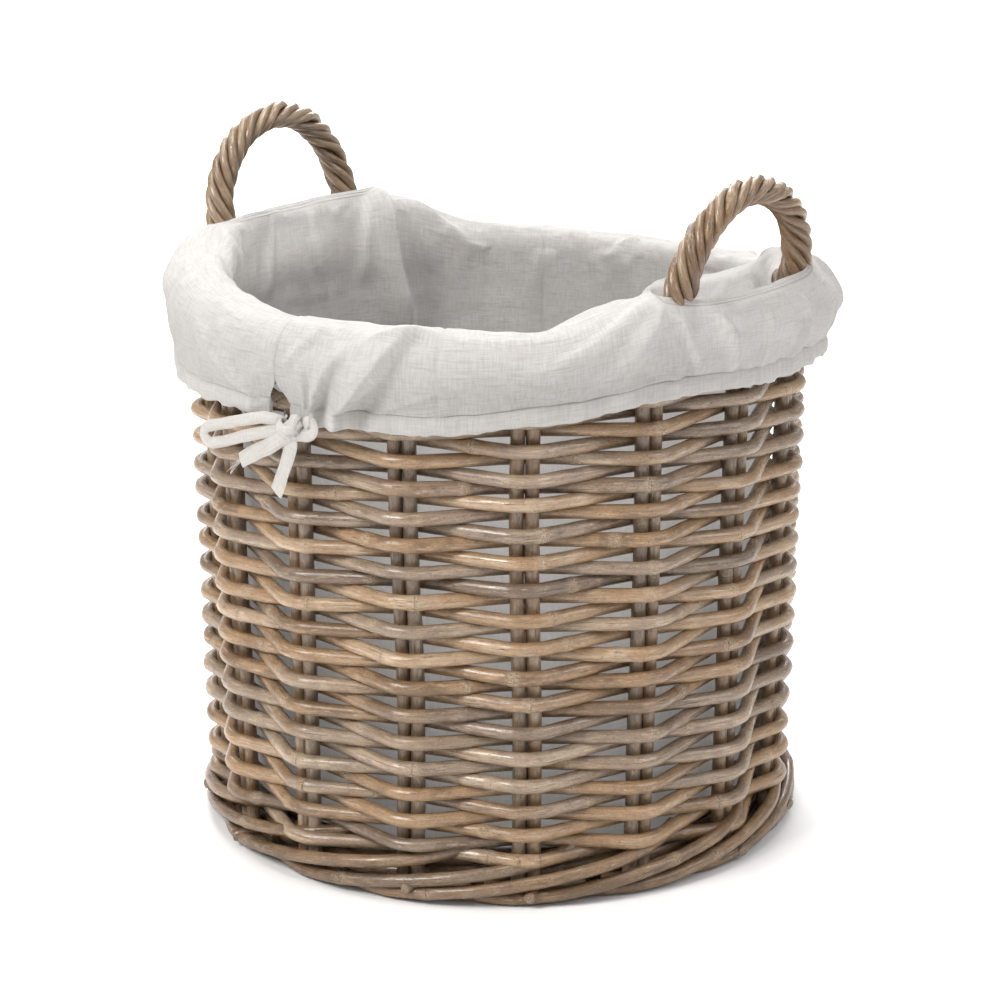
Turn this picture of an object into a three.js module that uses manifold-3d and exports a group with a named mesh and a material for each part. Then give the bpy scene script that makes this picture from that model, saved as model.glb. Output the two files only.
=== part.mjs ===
// A round rattan log basket with a removable cotton liner, in millimetres, +Z up.
//
// The origin is the middle of the underside. The two roped handles stand on the X axis
// and the liner's bow is at the front, on the -Y side. Angles run from the front
// towards +X, so the handles are at 90 and 270 degrees.
//
// Sixteen pairs of upright stakes carry two long weavers that chase each other round the
// wall: where one passes outside a pair the other passes inside it. Each weaver is made
// of several lengths of cane whose ends butt behind a stake.
import * as THREE from "three";
import Module from "manifold-3d";
import { mergeVertices } from "three/addons/utils/BufferGeometryUtils.js";

const wasm = await Module();
wasm.setup();

// ---- driving dimensions ------------------------------------------------------------
const STAKE_PAIRS = 16;
const STAKE_DIAMETER = 10;
const WEAVER_DIAMETER = 9;
const STICK_DIAMETER = 9;
const WALL_RADIUS_FOOT = 214.5; // middle of the wall at floor level
const WALL_RADIUS_RIM = 222; // middle of the wall at the rim
const RIM_HEIGHT = 411; // top of the rattan border
const BORDER_HEIGHT = 18;
const FOOT_HEIGHT = 25;
const ROW_GAP = 1.2; // least height between two rows of weaving
const CANES_PER_WEAVER = 5;
const CLEARANCE = 0.4; // gap between pieces that touch
const ROUND = 32; // facets round every ring, so that nested rings stay parallel

const HANDLE_RISE = 98; // from the border to the middle of the rope at its top
const HANDLE_LEAN = 26; // how far the top leans away from the basket
const HANDLE_CORE_DIAMETER = 8.4;
const STRANDS = 6;
const STRAND_DIAMETER = 5.8;
const STRAND_TURNS = 3.3; // turns of each strand from leg to leg
const STRAND_STEPS = 26; // straight steps along each strand
const SLYPE_DIAMETER = 4.2; // the cut-down ends of the core, pushed into the wall
const SLYPE_LENGTH = 70;
const SLYPE_INSET = 1.8; // inwards from the middle of the wall
const SLYPE_ROOT = 4; // how far a slype runs up into the core

const CLOTH = 2; // thickness of the liner's cloth, with its ease
const LINER_GAP = 1.2; // between the weave and the liner
const LINER_FLOOR_LIFT = 1.5; // between the base weave and the liner's floor
const FOLD_RISE = 6; // cloth above the border where it folds over
const CUFF_BULGE = 30; // how far the cuff stands out from the middle of the wall
const HEM_OUT = 24; // the same at the gathered hem
const CUFF_DROP = 48; // from the border's top down to the hem
const HEM_HEIGHT = 12;
const HEM_THICKNESS = 5;
const TENT_RISE = 28; // how far the handle legs hold the cloth up
const TENT_SLOPE = 26; // degrees round the rim over which the cloth comes down again
const HEM_RISE = 16; // how far that pulls up the hem under the handles
const HEM_SLOPE = 45; // degrees round the hem over which it comes down again
const SLIT_MARGIN = 6; // cloth slit beyond each handle leg
const PLACKET_ANGLE = 4; // degrees from the front to the opening of the cuff at the bow
const PLACKET_WIDTH = 6;
const PLACKET_HEIGHT = 34;
const TIE_WIDTH = 8;
const TIE_THICKNESS = 2.4;

// ---- worked out from those ---------------------------------------------------------
const DEG = Math.PI / 180;
const STAKE_STEP = 360 / STAKE_PAIRS;
const stakeRadius = STAKE_DIAMETER / 2;
const weaverRadius = WEAVER_DIAMETER / 2;
const stakeHalfGap = 0.96 * stakeRadius; // the two stakes of a pair press together

// A weaver runs straight from stake pair to stake pair and bends at each. Inside the wall
// the run leaves a pair almost level, but outside it heads inwards round the curve, so the
// bend stands out until the run clears the pair's shoulders.
const touchReach = stakeRadius + weaverRadius + CLEARANCE;
const insideReach = touchReach + CLEARANCE;
const stakeTurn = 2 * Math.PI / STAKE_PAIRS;
const innerBend = WALL_RADIUS_FOOT - insideReach;
const runSlope = (WALL_RADIUS_FOOT + touchReach + stakeHalfGap - innerBend * Math.cos(stakeTurn))
  / (innerBend * Math.sin(stakeTurn));
const outsideReach = touchReach * Math.hypot(1, runSlope) + stakeHalfGap * runSlope;
const weaveInside = insideReach + weaverRadius;
const weaveOutside = outsideReach + weaverRadius;

const baseHeight = STICK_DIAMETER / 2 + WEAVER_DIAMETER + 2.5; // middle of the base sticks
const baseTop = baseHeight + STICK_DIAMETER / 2 + WEAVER_DIAMETER;
const borderBottom = RIM_HEIGHT - BORDER_HEIGHT;
// As many pairs of rows as fit between the foot and the border, spread evenly.
const firstRow = FOOT_HEIGHT + 4 * CLEARANCE + weaverRadius;
const lastRow = borderBottom - CLEARANCE - weaverRadius;
const rowPairs = ((lastRow - firstRow) / (WEAVER_DIAMETER + ROW_GAP) + 1) / 2;
const rowCount = 2 * Math.floor(rowPairs + 1e-6);
const rowPitch = (lastRow - firstRow) / (rowCount - 1);
const stakeBottom = 5;
const stakeTop = RIM_HEIGHT - 6;
const linerFloor = baseTop + LINER_FLOOR_LIFT;
const hemTop = RIM_HEIGHT - CUFF_DROP;
// A strand's straight steps cut inside its winding, which is widened to clear the core.
const strandOrbit = (HANDLE_CORE_DIAMETER / 2 + CLEARANCE + STRAND_DIAMETER / 2)
  / Math.cos(Math.PI * STRAND_TURNS / STRAND_STEPS);
const ropeRadius = strandOrbit + STRAND_DIAMETER / 2;
// Each handle spans one stake pair: its slypes go down beside the pairs on either side.
const slypeRadius = SLYPE_DIAMETER / 2;
const slypeWall = WALL_RADIUS_RIM - SLYPE_INSET;
const besidePair = (stakeHalfGap + stakeRadius + slypeRadius + 2 * CLEARANCE) / slypeWall;
const handleHalfSpan = slypeWall * Math.sin(stakeTurn - besidePair);
const handlePlane = slypeWall * Math.cos(stakeTurn - besidePair);
const slitHalfLength = handleHalfSpan + ropeRadius + SLIT_MARGIN;

const wallRadius = (z) => WALL_RADIUS_FOOT + (WALL_RADIUS_RIM - WALL_RADIUS_FOOT) * z / RIM_HEIGHT;
const linerRadius = (z) => wallRadius(z) - weaveInside - LINER_GAP - CLOTH / 2;

// A point at that radius and height, with the angle in degrees from the front.
function around(radius, angle, z) {
  return new THREE.Vector3(radius * Math.sin(angle * DEG), -radius * Math.cos(angle * DEG), z);
}

function smoothstep(from, to, x) {
  const t = Math.min(1, Math.max(0, (x - from) / (to - from)));
  return t * t * (3 - 2 * t);
}

// ---- materials ---------------------------------------------------------------------
const stakeCane = new THREE.MeshStandardMaterial({ color: 0x85705a, roughness: 0.6, metalness: 0 });
const weaverCane = new THREE.MeshStandardMaterial({ color: 0xa08a70, roughness: 0.5, metalness: 0 });
const handleCane = new THREE.MeshStandardMaterial({ color: 0x8c765e, roughness: 0.45, metalness: 0 });
const cotton = new THREE.MeshStandardMaterial({ color: 0xe4e0da, roughness: 0.95, metalness: 0 });

const basket = new THREE.Group();

function addPiece(name, geometry, material) {
  const mesh = new THREE.Mesh(geometry, material);
  mesh.name = name;
  basket.add(mesh);
  return mesh;
}

// ---- tools for making shapes ---------------------------------------------------------
// A path that goes straight from point to point, with one step of an extrusion for each.
class StraightRuns extends THREE.Curve {
  constructor(points) {
    super();
    this.points = points;
  }

  getPoint(t, target = new THREE.Vector3()) {
    const place = t * (this.points.length - 1);
    const run = Math.min(Math.floor(place), this.points.length - 2);
    return target.lerpVectors(this.points[run], this.points[run + 1], place - run);
  }

  getPointAt(u, target) {
    return this.getPoint(u, target);
  }

  getTangentAt(u, target = new THREE.Vector3()) {
    const place = Math.round(u * (this.points.length - 1));
    const before = this.points[Math.max(place - 1, 0)];
    const here = this.points[place];
    const after = this.points[Math.min(place + 1, this.points.length - 1)];
    const arriving = here.clone().sub(before).normalize();
    const leaving = after.clone().sub(here).normalize();
    return target.copy(arriving).add(leaving).normalize();
  }
}

function roundSection(diameter, sides) {
  const section = new THREE.Shape();
  for (let i = 0; i < sides; i++) {
    const a = 2 * Math.PI * i / sides;
    const x = diameter / 2 * Math.cos(a);
    const y = diameter / 2 * Math.sin(a);
    if (i === 0) section.moveTo(x, y);
    else section.lineTo(x, y);
  }
  return section;
}

// The outline of two rods side by side along the x axis.
function pairSection(radius, halfGap, segments) {
  const waist = Math.acos(halfGap / radius);
  const section = new THREE.Shape();
  section.absarc(halfGap, 0, radius, waist - Math.PI, Math.PI - waist, false);
  section.absarc(-halfGap, 0, radius, waist, 2 * Math.PI - waist, false);
  section.autoClose = true;
  return new THREE.Shape(section.getPoints(segments).slice(0, -1));
}

// An eight-cornered slot that a pair passes through.
function ovalSection(radius, halfGap) {
  const corner = radius * Math.tan(Math.PI / 8);
  const quarter = [[halfGap + radius, corner], [halfGap + corner, radius]];
  const section = new THREE.Shape();
  const place = (x, y) => new THREE.Vector2(x, y);
  section.setFromPoints([
    ...quarter.map(([x, y]) => place(x, y)),
    ...quarter.map(([x, y]) => place(-x, y)).reverse(),
    ...quarter.map(([x, y]) => place(-x, -y)),
    ...quarter.map(([x, y]) => place(x, -y)).reverse(),
  ]);
  return section;
}

function sweep(section, points) {
  return new THREE.ExtrudeGeometry(section, {
    extrudePath: new StraightRuns(points),
    steps: points.length - 1,
    bevelEnabled: false,
  });
}

// A ring turned round the Z axis from a closed outline of [radius, height] corners.
function ring(outline, segments) {
  const profile = [...outline, outline[0]].map(([r, z]) => new THREE.Vector2(r, z));
  return new THREE.LatheGeometry(profile, segments).rotateX(Math.PI / 2);
}

function solid(geometry) {
  const bare = geometry.clone();
  bare.deleteAttribute("normal");
  bare.deleteAttribute("uv");
  const merged = mergeVertices(bare, 1e-3);
  return new wasm.Manifold(new wasm.Mesh({
    numProp: 3,
    vertProperties: merged.attributes.position.array,
    triVerts: new Uint32Array(merged.index.array),
  }));
}

function geometryOf(manifold) {
  const mesh = manifold.getMesh();
  const geometry = new THREE.BufferGeometry();
  geometry.setAttribute("position", new THREE.BufferAttribute(mesh.vertProperties, 3));
  geometry.setIndex(new THREE.BufferAttribute(mesh.triVerts, 1));
  geometry.computeVertexNormals();
  return geometry;
}

function box(width, depth, height, x, y, z) {
  return solid(new THREE.BoxGeometry(width, depth, height).translate(x, y, z));
}

// ---- stakes ------------------------------------------------------------------------
// Each pair leans with the wall. grow widens it to cut its socket in a neighbour.
function stakePair(angle, low, high, grow = 0) {
  const section = grow > 0 ? ovalSection(stakeRadius + grow, stakeHalfGap)
    : pairSection(stakeRadius, stakeHalfGap, 4);
  const length = Math.hypot(high - low, wallRadius(high) - wallRadius(low));
  const lean = Math.atan2(wallRadius(high) - wallRadius(low), high - low);
  return new THREE.ExtrudeGeometry(section, { depth: length, bevelEnabled: false })
    .rotateX(lean)
    .translate(0, -wallRadius(low), low)
    .rotateZ(angle * DEG);
}

function stakes() {
  for (let i = 0; i < STAKE_PAIRS; i++) {
    const name = `stake_pair_${String(i + 1).padStart(2, "0")}`;
    addPiece(name, stakePair(i * STAKE_STEP, stakeBottom, stakeTop), stakeCane);
  }
}

// Cuts the sockets of all the stakes in a ring.
function withStakeSockets(manifold, low, high) {
  let cut = manifold;
  for (let i = 0; i < STAKE_PAIRS; i++) {
    cut = cut.subtract(solid(stakePair(i * STAKE_STEP, low, high, CLEARANCE)));
  }
  return cut;
}

// ---- weavers -----------------------------------------------------------------------
// Where a weaver crosses stake number `crossing`, counted from its start at the back.
// It goes round on the level and climbs two rows between the last stake and the first.
function weaverPoint(crossing, side) {
  const turn = Math.floor(crossing / STAKE_PAIRS);
  const row = 2 * turn + (side > 0 ? 0 : 1);
  const goesOutside = (crossing % 2 === 0) === (side > 0);
  const z = firstRow + row * rowPitch;
  const reach = goesOutside ? outsideReach : -insideReach;
  return around(wallRadius(z) + reach, 180 + crossing * STAKE_STEP, z);
}

// The weavers are cut into canes at crossings inside the wall, staggered round it.
function weaver(letter, side) {
  const crossings = STAKE_PAIRS * rowCount / 2;
  const firstInside = side > 0 ? 1 : 0;
  const joints = [0];
  for (let i = 1; i < CANES_PER_WEAVER; i++) {
    joints.push(2 * Math.round(i * crossings / CANES_PER_WEAVER / 2) + firstInside);
  }
  joints.push(crossings - 1);
  for (let i = 0; i < CANES_PER_WEAVER; i++) {
    const points = [];
    for (let c = joints[i]; c <= joints[i + 1]; c++) points.push(weaverPoint(c, side));
    shorten(points, i > 0, i < CANES_PER_WEAVER - 1);
    addPiece(`weaver_${letter}${i + 1}`, sweep(roundSection(WEAVER_DIAMETER, 4), points), weaverCane);
  }
}

// Draws in the ends of a cane that butt against the next one.
function shorten(points, atStart, atEnd) {
  const pull = 1.5 * CLEARANCE / points[0].distanceTo(points[1]);
  const last = points.length - 1;
  if (atStart) points[0].lerp(points[1], pull);
  if (atEnd) points[last].lerp(points[last - 1], pull);
}

// ---- base --------------------------------------------------------------------------
// Sticks cross in two layers in the middle, then fan out level between the stakes.
const stickReach = wallRadius(baseTop) - weaveInside + CLEARANCE;
const sticksEachWay = STAKE_PAIRS / 4;

function stickPath(index, alongX) {
  const lane = index - (sticksEachWay - 1) / 2;
  const middle = baseHeight + (alongX ? -1 : 1) * (STICK_DIAMETER + CLEARANCE) / 2;
  const fan = lane * STAKE_STEP * DEG;
  const half = [
    [stickReach * Math.cos(fan), stickReach * Math.sin(fan), baseHeight],
    [78 * Math.cos(fan), 78 * Math.sin(fan), baseHeight],
    [26, lane * (STICK_DIAMETER + CLEARANCE), middle],
  ];
  const other = half.map(([x, y, z]) => [-x, y, z]).reverse();
  return [...half, ...other].map(([x, y, z]) => alongX
    ? new THREE.Vector3(x, y, z)
    : new THREE.Vector3(-y, x, z));
}

function base() {
  let weave = solid(ring([
    [44, baseHeight - STICK_DIAMETER / 2 - WEAVER_DIAMETER],
    [stickReach, baseHeight - STICK_DIAMETER / 2 - WEAVER_DIAMETER],
    [stickReach, baseTop],
    [44, baseTop],
  ], ROUND));
  for (const alongX of [true, false]) {
    for (let i = 0; i < sticksEachWay; i++) {
      const path = stickPath(i, alongX);
      const name = `base_stick_${alongX ? "lower" : "upper"}_${i + 1}`;
      addPiece(name, sweep(roundSection(STICK_DIAMETER, 6), path), stakeCane);
      const grown = roundSection(STICK_DIAMETER + 2 * CLEARANCE, 6);
      weave = weave.subtract(solid(sweep(grown, lengthened(path))));
    }
  }
  addPiece("base_weave", geometryOf(weave), weaverCane);
}

// The same path with its two ends moved a little further out.
function lengthened(path) {
  const last = path.length - 1;
  const out = path.map((p) => p.clone());
  out[0].lerp(path[1], -0.1);
  out[last].lerp(path[last - 1], -0.1);
  return out;
}

function footBorder() {
  const inner = stickReach + CLEARANCE;
  const outer = WALL_RADIUS_FOOT + weaveOutside + 5;
  const top = Math.min(FOOT_HEIGHT, firstRow - weaverRadius - CLEARANCE);
  const outline = [
    [inner, 4],
    [inner + 8, 0],
    [outer - 9, 0],
    [outer - 1, 7],
    [outer, 14],
    [outer - 6, top],
    [inner, top],
  ];
  const foot = withStakeSockets(solid(ring(outline, ROUND)), stakeBottom - CLEARANCE, 2 * FOOT_HEIGHT);
  addPiece("foot_border", geometryOf(foot), weaverCane);
}

// ---- rim and handles ---------------------------------------------------------------
// Moves what stands on the origin to the foot of the right handle's leg on that side, with
// the lean of the wall.
function intoWall(geometry, side) {
  return geometry
    .rotateY(Math.atan2(WALL_RADIUS_RIM - WALL_RADIUS_FOOT, RIM_HEIGHT))
    .rotateZ(side * Math.atan2(handleHalfSpan, handlePlane))
    .translate(handlePlane, side * handleHalfSpan, RIM_HEIGHT);
}

function rimBorder() {
  const inner = WALL_RADIUS_RIM - weaveInside;
  const outer = WALL_RADIUS_RIM + weaveOutside;
  const outline = [
    [inner, borderBottom],
    [outer, borderBottom],
    [outer, RIM_HEIGHT - 6],
    [outer - 7, RIM_HEIGHT],
    [inner + 7, RIM_HEIGHT],
    [inner, RIM_HEIGHT - 6],
  ];
  let border = withStakeSockets(solid(ring(outline, ROUND)), borderBottom - 5, stakeTop + CLEARANCE);
  for (const end of [1, -1]) {
    for (const side of [1, -1]) {
      const socket = new THREE.CylinderGeometry(
        slypeRadius + CLEARANCE, slypeRadius + CLEARANCE, 3 * BORDER_HEIGHT, 8).rotateX(Math.PI / 2);
      intoWall(socket, side);
      border = border.subtract(solid(end > 0 ? socket : socket.rotateZ(Math.PI)));
    }
  }
  addPiece("rim_border", geometryOf(border), weaverCane);
}

// The middle line of a handle rope: two upright legs joined by a half circle, leaning out.
// t runs from 0 at one leg's foot to 1 at the other's, by length.
const legHeight = HANDLE_RISE - handleHalfSpan;
const archLength = 2 * legHeight + Math.PI * handleHalfSpan;
// The strands' slanting ends, and the outer ones of the leaning rope, dip below its foot.
const ropeFoot = RIM_HEIGHT + STRAND_DIAMETER / 2 + CLEARANCE + strandOrbit * HANDLE_LEAN / HANDLE_RISE;

function handleLine(t) {
  const along = t * archLength;
  const turned = Math.min(Math.max((along - legHeight) / handleHalfSpan, 0), Math.PI);
  const leg = Math.min(along, legHeight, archLength - along);
  const across = -handleHalfSpan * Math.cos(turned);
  const height = leg + handleHalfSpan * Math.sin(turned);
  return new THREE.Vector3(
    handlePlane + HANDLE_LEAN * height / HANDLE_RISE, across, ropeFoot + height);
}

function handleTangent(t) {
  const step = 1e-3;
  const before = handleLine(Math.max(t - step, 0));
  return handleLine(Math.min(t + step, 1)).sub(before).normalize();
}

function strandPath(index) {
  const outward = new THREE.Vector3(1, 0, 0);
  const points = [];
  for (let i = 0; i <= STRAND_STEPS; i++) {
    const t = i / STRAND_STEPS;
    const tangent = handleTangent(t);
    const u = outward.clone().addScaledVector(tangent, -outward.dot(tangent)).normalize();
    const v = new THREE.Vector3().crossVectors(tangent, u);
    const a = 2 * Math.PI * (index / STRANDS - STRAND_TURNS * t);
    points.push(handleLine(t)
      .addScaledVector(u, strandOrbit * Math.cos(a))
      .addScaledVector(v, strandOrbit * Math.sin(a)));
  }
  return points;
}

function handleCore() {
  const points = [];
  for (let i = 0; i <= 16; i++) points.push(handleLine(i / 16));
  let core = solid(sweep(roundSection(HANDLE_CORE_DIAMETER, 6), points));
  const length = SLYPE_LENGTH + SLYPE_ROOT;
  for (const side of [1, -1]) {
    const slype = new THREE.CylinderGeometry(slypeRadius, 0.6 * slypeRadius, length, 8)
      .rotateX(Math.PI / 2).translate(0, 0, ropeFoot + SLYPE_ROOT - RIM_HEIGHT - length / 2);
    core = core.add(solid(intoWall(slype, side)));
  }
  return geometryOf(core);
}

function handles() {
  const core = handleCore();
  for (const [sideName, turn] of [["right", 0], ["left", Math.PI]]) {
    addPiece(`handle_core_${sideName}`, core.clone().rotateZ(turn), handleCane);
    for (let i = 0; i < STRANDS; i++) {
      const strand = sweep(roundSection(STRAND_DIAMETER, 4), strandPath(i)).rotateZ(turn);
      addPiece(`handle_strand_${sideName}_${i + 1}`, strand, handleCane);
    }
  }
}

// ---- liner -------------------------------------------------------------------------
// 1 at the handles, going down to 0 over that many degrees beyond the slit.
function nearHandle(x, y, slope) {
  const away = Math.atan2(Math.abs(y), Math.abs(x)) / DEG;
  const reach = Math.asin(slitHalfLength / WALL_RADIUS_RIM) / DEG;
  return 1 - smoothstep(reach, reach + slope, away);
}

// The handles hold up the fold of the cloth most, and the hem less.
function liftCloth(geometry) {
  const place = geometry.attributes.position;
  for (let i = 0; i < place.count; i++) {
    const [x, y, z] = [place.getX(i), place.getY(i), place.getZ(i)];
    const outside = smoothstep(WALL_RADIUS_RIM, WALL_RADIUS_RIM + 10, Math.hypot(x, y));
    const raised = smoothstep(hemTop + 10, RIM_HEIGHT - 6, z);
    const hemLift = HEM_RISE * nearHandle(x, y, HEM_SLOPE) * outside;
    const foldLift = TENT_RISE * nearHandle(x, y, TENT_SLOPE);
    place.setZ(i, z + hemLift * (1 - raised) + foldLift * raised);
  }
  return geometry;
}

// The cloth's middle line from the foot of the bag, over the border, to the hem.
function clothLine() {
  const bagTop = RIM_HEIGHT - BORDER_HEIGHT;
  const out = WALL_RADIUS_RIM + CUFF_BULGE;
  return [
    [linerRadius(linerFloor), linerFloor + CLOTH + CLEARANCE],
    [linerRadius(bagTop - 60), bagTop - 60],
    [linerRadius(bagTop), bagTop],
    [linerRadius(RIM_HEIGHT), RIM_HEIGHT - 4],
    [linerRadius(RIM_HEIGHT) + 7, RIM_HEIGHT + FOLD_RISE - 1],
    [WALL_RADIUS_RIM - 3, RIM_HEIGHT + FOLD_RISE],
    [WALL_RADIUS_RIM + 14, RIM_HEIGHT + FOLD_RISE - 1],
    [out - 4, RIM_HEIGHT - 4],
    [out, RIM_HEIGHT - 20],
    [out - 2, RIM_HEIGHT - 36],
    [WALL_RADIUS_RIM + HEM_OUT, hemTop + CLEARANCE],
  ];
}

// A closed outline of that thickness round an open line of corners.
function thickened(line, thickness) {
  const sideOf = (sign) => line.map(([r, z], i) => {
    const [r0, z0] = line[Math.max(i - 1, 0)];
    const [r1, z1] = line[Math.min(i + 1, line.length - 1)];
    const length = Math.hypot(r1 - r0, z1 - z0);
    const push = sign * thickness / 2 / length;
    return [r + push * (z1 - z0), z - push * (r1 - r0)];
  });
  return [...sideOf(1), ...sideOf(-1).reverse()];
}

function linerBody() {
  let body = solid(liftCloth(ring(thickened(clothLine(), CLOTH), ROUND)));
  const innerEdge = linerRadius(RIM_HEIGHT) + CLOTH / 2 + 1;
  const outerEdge = WALL_RADIUS_RIM + CUFF_BULGE - 5;
  const tall = 2 * (TENT_RISE + BORDER_HEIGHT);
  const slot = solid(new THREE.CylinderGeometry(outerEdge, outerEdge, tall, ROUND).rotateX(Math.PI / 2))
    .subtract(solid(new THREE.CylinderGeometry(innerEdge, innerEdge, 2 * tall, ROUND).rotateX(Math.PI / 2)))
    .translate([0, 0, RIM_HEIGHT + tall / 2 - 2]);
  const everyway = 4 * WALL_RADIUS_RIM;
  body = body.subtract(slot.intersect(box(everyway, 2 * slitHalfLength, everyway, 0, 0, RIM_HEIGHT)));
  const placket = box(PLACKET_WIDTH, 60, PLACKET_HEIGHT, 0, -WALL_RADIUS_RIM - HEM_OUT - 4,
    hemTop + PLACKET_HEIGHT / 2 - 4).rotate([0, 0, PLACKET_ANGLE]);
  addPiece("liner_body", geometryOf(body.subtract(placket)), cotton);
}

function linerFloorDisc() {
  const disc = new THREE.CylinderGeometry(
    linerRadius(linerFloor) + CLOTH / 2, linerRadius(linerFloor) + CLOTH / 2, CLOTH, ROUND);
  addPiece("liner_floor", disc.rotateX(Math.PI / 2).translate(0, 0, linerFloor + CLOTH / 2), cotton);
}

function hemChannel() {
  const middle = WALL_RADIUS_RIM + HEM_OUT;
  const outline = [
    [middle - HEM_THICKNESS / 2, hemTop - 2],
    [middle - HEM_THICKNESS / 2, hemTop - HEM_HEIGHT + 3],
    [middle, hemTop - HEM_HEIGHT],
    [middle + HEM_THICKNESS / 2, hemTop - HEM_HEIGHT + 3],
    [middle + HEM_THICKNESS / 2, hemTop - 2],
    [middle, hemTop - 2 * CLEARANCE],
  ];
  const gap = box(3 * TIE_WIDTH, 60, 60, 0, -middle, hemTop).rotate([0, 0, PLACKET_ANGLE]);
  addPiece("hem_channel", geometryOf(solid(liftCloth(ring(outline, ROUND))).subtract(gap)), cotton);
}

// ---- the bow -----------------------------------------------------------------------
// Points are [sideways, outwards, up] from the middle of the knot.
const knotPlace = [9, -(WALL_RADIUS_RIM + HEM_OUT + 8), hemTop - 15];
const loopLeft = [
  [-9.5, 0, 3], [-16, 2, 4.5], [-25, 2.5, 4.5], [-41, 1.5, 0.5], [-60, -1.5, -5], [-79, -6, -10.5],
  [-88, -9, -13], [-93.5, -10.5, -18], [-92.5, -10.5, -22.5], [-85, -8.5, -25], [-67, -4, -20],
  [-46, 1, -12.5], [-28, 3, -7], [-17, 3, -4], [-9.5, 2, -3],
];
const loopRight = [
  [9.5, 0, 3], [13, 1, 6], [16.5, 0.8, 6.5], [19, 0.5, 3.5], [18, 0.5, -1], [13.5, 1, -3.5], [9.5, 1, -3],
];
const tailLeft = [
  [-9.5, 3.2, -8.5], [-14, 3.8, -12], [-21, 2.6, -16], [-31, 0, -20.5], [-44, -3.4, -27], [-55, -7.2, -33],
];
const tailDown = [
  [1, 2.6, -9.5], [0.5, 3.4, -14], [-3, 2, -21], [-8, -0.5, -29], [-14, -3.5, -38], [-20, -6.5, -47],
  [-23.5, -8, -52],
];

function tie(name, points, width) {
  const section = new THREE.Shape();
  for (let i = 0; i < 8; i++) {
    const a = (i + 0.5) * Math.PI / 4;
    const x = TIE_THICKNESS / 2 * Math.cos(a) / Math.cos(Math.PI / 8);
    const y = width / 2 * Math.sin(a) / Math.cos(Math.PI / 8);
    if (i === 0) section.moveTo(x, y);
    else section.lineTo(x, y);
  }
  const [x0, y0, z0] = knotPlace;
  const path = points.map(([x, out, z]) => new THREE.Vector3(x0 + x, y0 - out, z0 + z));
  addPiece(name, sweep(section, path).rotateZ(PLACKET_ANGLE * DEG), cotton);
}

function bow() {
  const knot = new THREE.SphereGeometry(1, 10, 6).scale(8.5, 4.6, 7).translate(...knotPlace);
  addPiece("tie_knot", knot.rotateZ(PLACKET_ANGLE * DEG), cotton);
  tie("tie_loop_left", loopLeft, 0.55 * TIE_WIDTH);
  tie("tie_loop_right", loopRight, 0.55 * TIE_WIDTH);
  tie("tie_tail_left", tailLeft, TIE_WIDTH);
  tie("tie_tail_down", tailDown, TIE_WIDTH);
}

stakes();
weaver("a", 1);
weaver("b", -1);
base();
footBorder();
rimBorder();
handles();
linerBody();
linerFloorDisc();
hemChannel();
bow();

export default basket;
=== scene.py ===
"""A round log basket woven from cane, with two roped handles and a lift-out cotton liner.

Metres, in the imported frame: +Z up, the handles on the X axis, the liner's bow at the
front, on -Y. Angles are in degrees from the front towards +X.
"""

import math

import bmesh
import bpy
import numpy as np
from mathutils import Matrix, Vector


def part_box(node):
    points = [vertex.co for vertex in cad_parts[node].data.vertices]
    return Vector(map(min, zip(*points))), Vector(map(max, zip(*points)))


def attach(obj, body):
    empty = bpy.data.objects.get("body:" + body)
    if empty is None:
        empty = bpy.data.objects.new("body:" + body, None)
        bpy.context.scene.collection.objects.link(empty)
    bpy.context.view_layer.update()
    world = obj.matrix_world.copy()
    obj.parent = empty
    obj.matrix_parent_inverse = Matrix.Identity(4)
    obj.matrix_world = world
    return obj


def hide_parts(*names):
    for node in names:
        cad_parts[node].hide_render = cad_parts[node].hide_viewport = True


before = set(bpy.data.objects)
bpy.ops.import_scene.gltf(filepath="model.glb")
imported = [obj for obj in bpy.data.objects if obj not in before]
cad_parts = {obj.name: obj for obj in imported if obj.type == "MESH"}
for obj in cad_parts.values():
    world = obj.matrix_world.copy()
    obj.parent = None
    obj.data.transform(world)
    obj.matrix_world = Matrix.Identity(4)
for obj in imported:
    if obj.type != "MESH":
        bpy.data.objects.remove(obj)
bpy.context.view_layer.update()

MM = 0.001
DEG = math.pi / 180
UP = (0, 0, 1.0)


# ---- sizes taken from the frame ----
STAKE_PAIRS = 16
STAKE_STEP = 360 / STAKE_PAIRS
STAKE_RADIUS = 5.0 * MM
WEAVER_RADIUS = 5.2 * MM  # pressed together, so a little stouter than in the frame
FRAME_WEAVER_RADIUS = 4.5 * MM
CANES_PER_WEAVER = 5
CLEAR = 0.4 * MM

stake_low, stake_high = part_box("stake_pair_01")
border_low, border_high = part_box("rim_border")
weave_low, weave_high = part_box("base_weave")
hem_low, hem_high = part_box("hem_channel")
floor_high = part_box("liner_floor")[1]
core_low, core_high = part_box("handle_core_right")

RIM = border_high.z
wall_foot = -stake_high.y + STAKE_RADIUS
wall_rim = -stake_low.y - STAKE_RADIUS
lowest_a, lowest_b = (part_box(name)[0].z for name in ("weaver_a1", "weaver_b1"))
first_row = lowest_a + FRAME_WEAVER_RADIUS
row_pitch = lowest_b - lowest_a
row_count = round((border_low.z - first_row) / row_pitch + 0.5)


def wall(z):
    """The radius of the middle of the wall at that height."""
    rise = (z - stake_low.z) / (stake_high.z - stake_low.z)
    return wall_foot + (wall_rim - wall_foot) * rise


# ---- numbers and noise ----
def around(radius, angle, z):
    """Points at that radius, angle and height."""
    a = np.asarray(angle) * DEG
    return np.stack(np.broadcast_arrays(radius * np.sin(a), -radius * np.cos(a), z), axis=-1)


def unit(vectors):
    return vectors / np.maximum(np.linalg.norm(vectors, axis=-1, keepdims=True), 1e-12)


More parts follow.
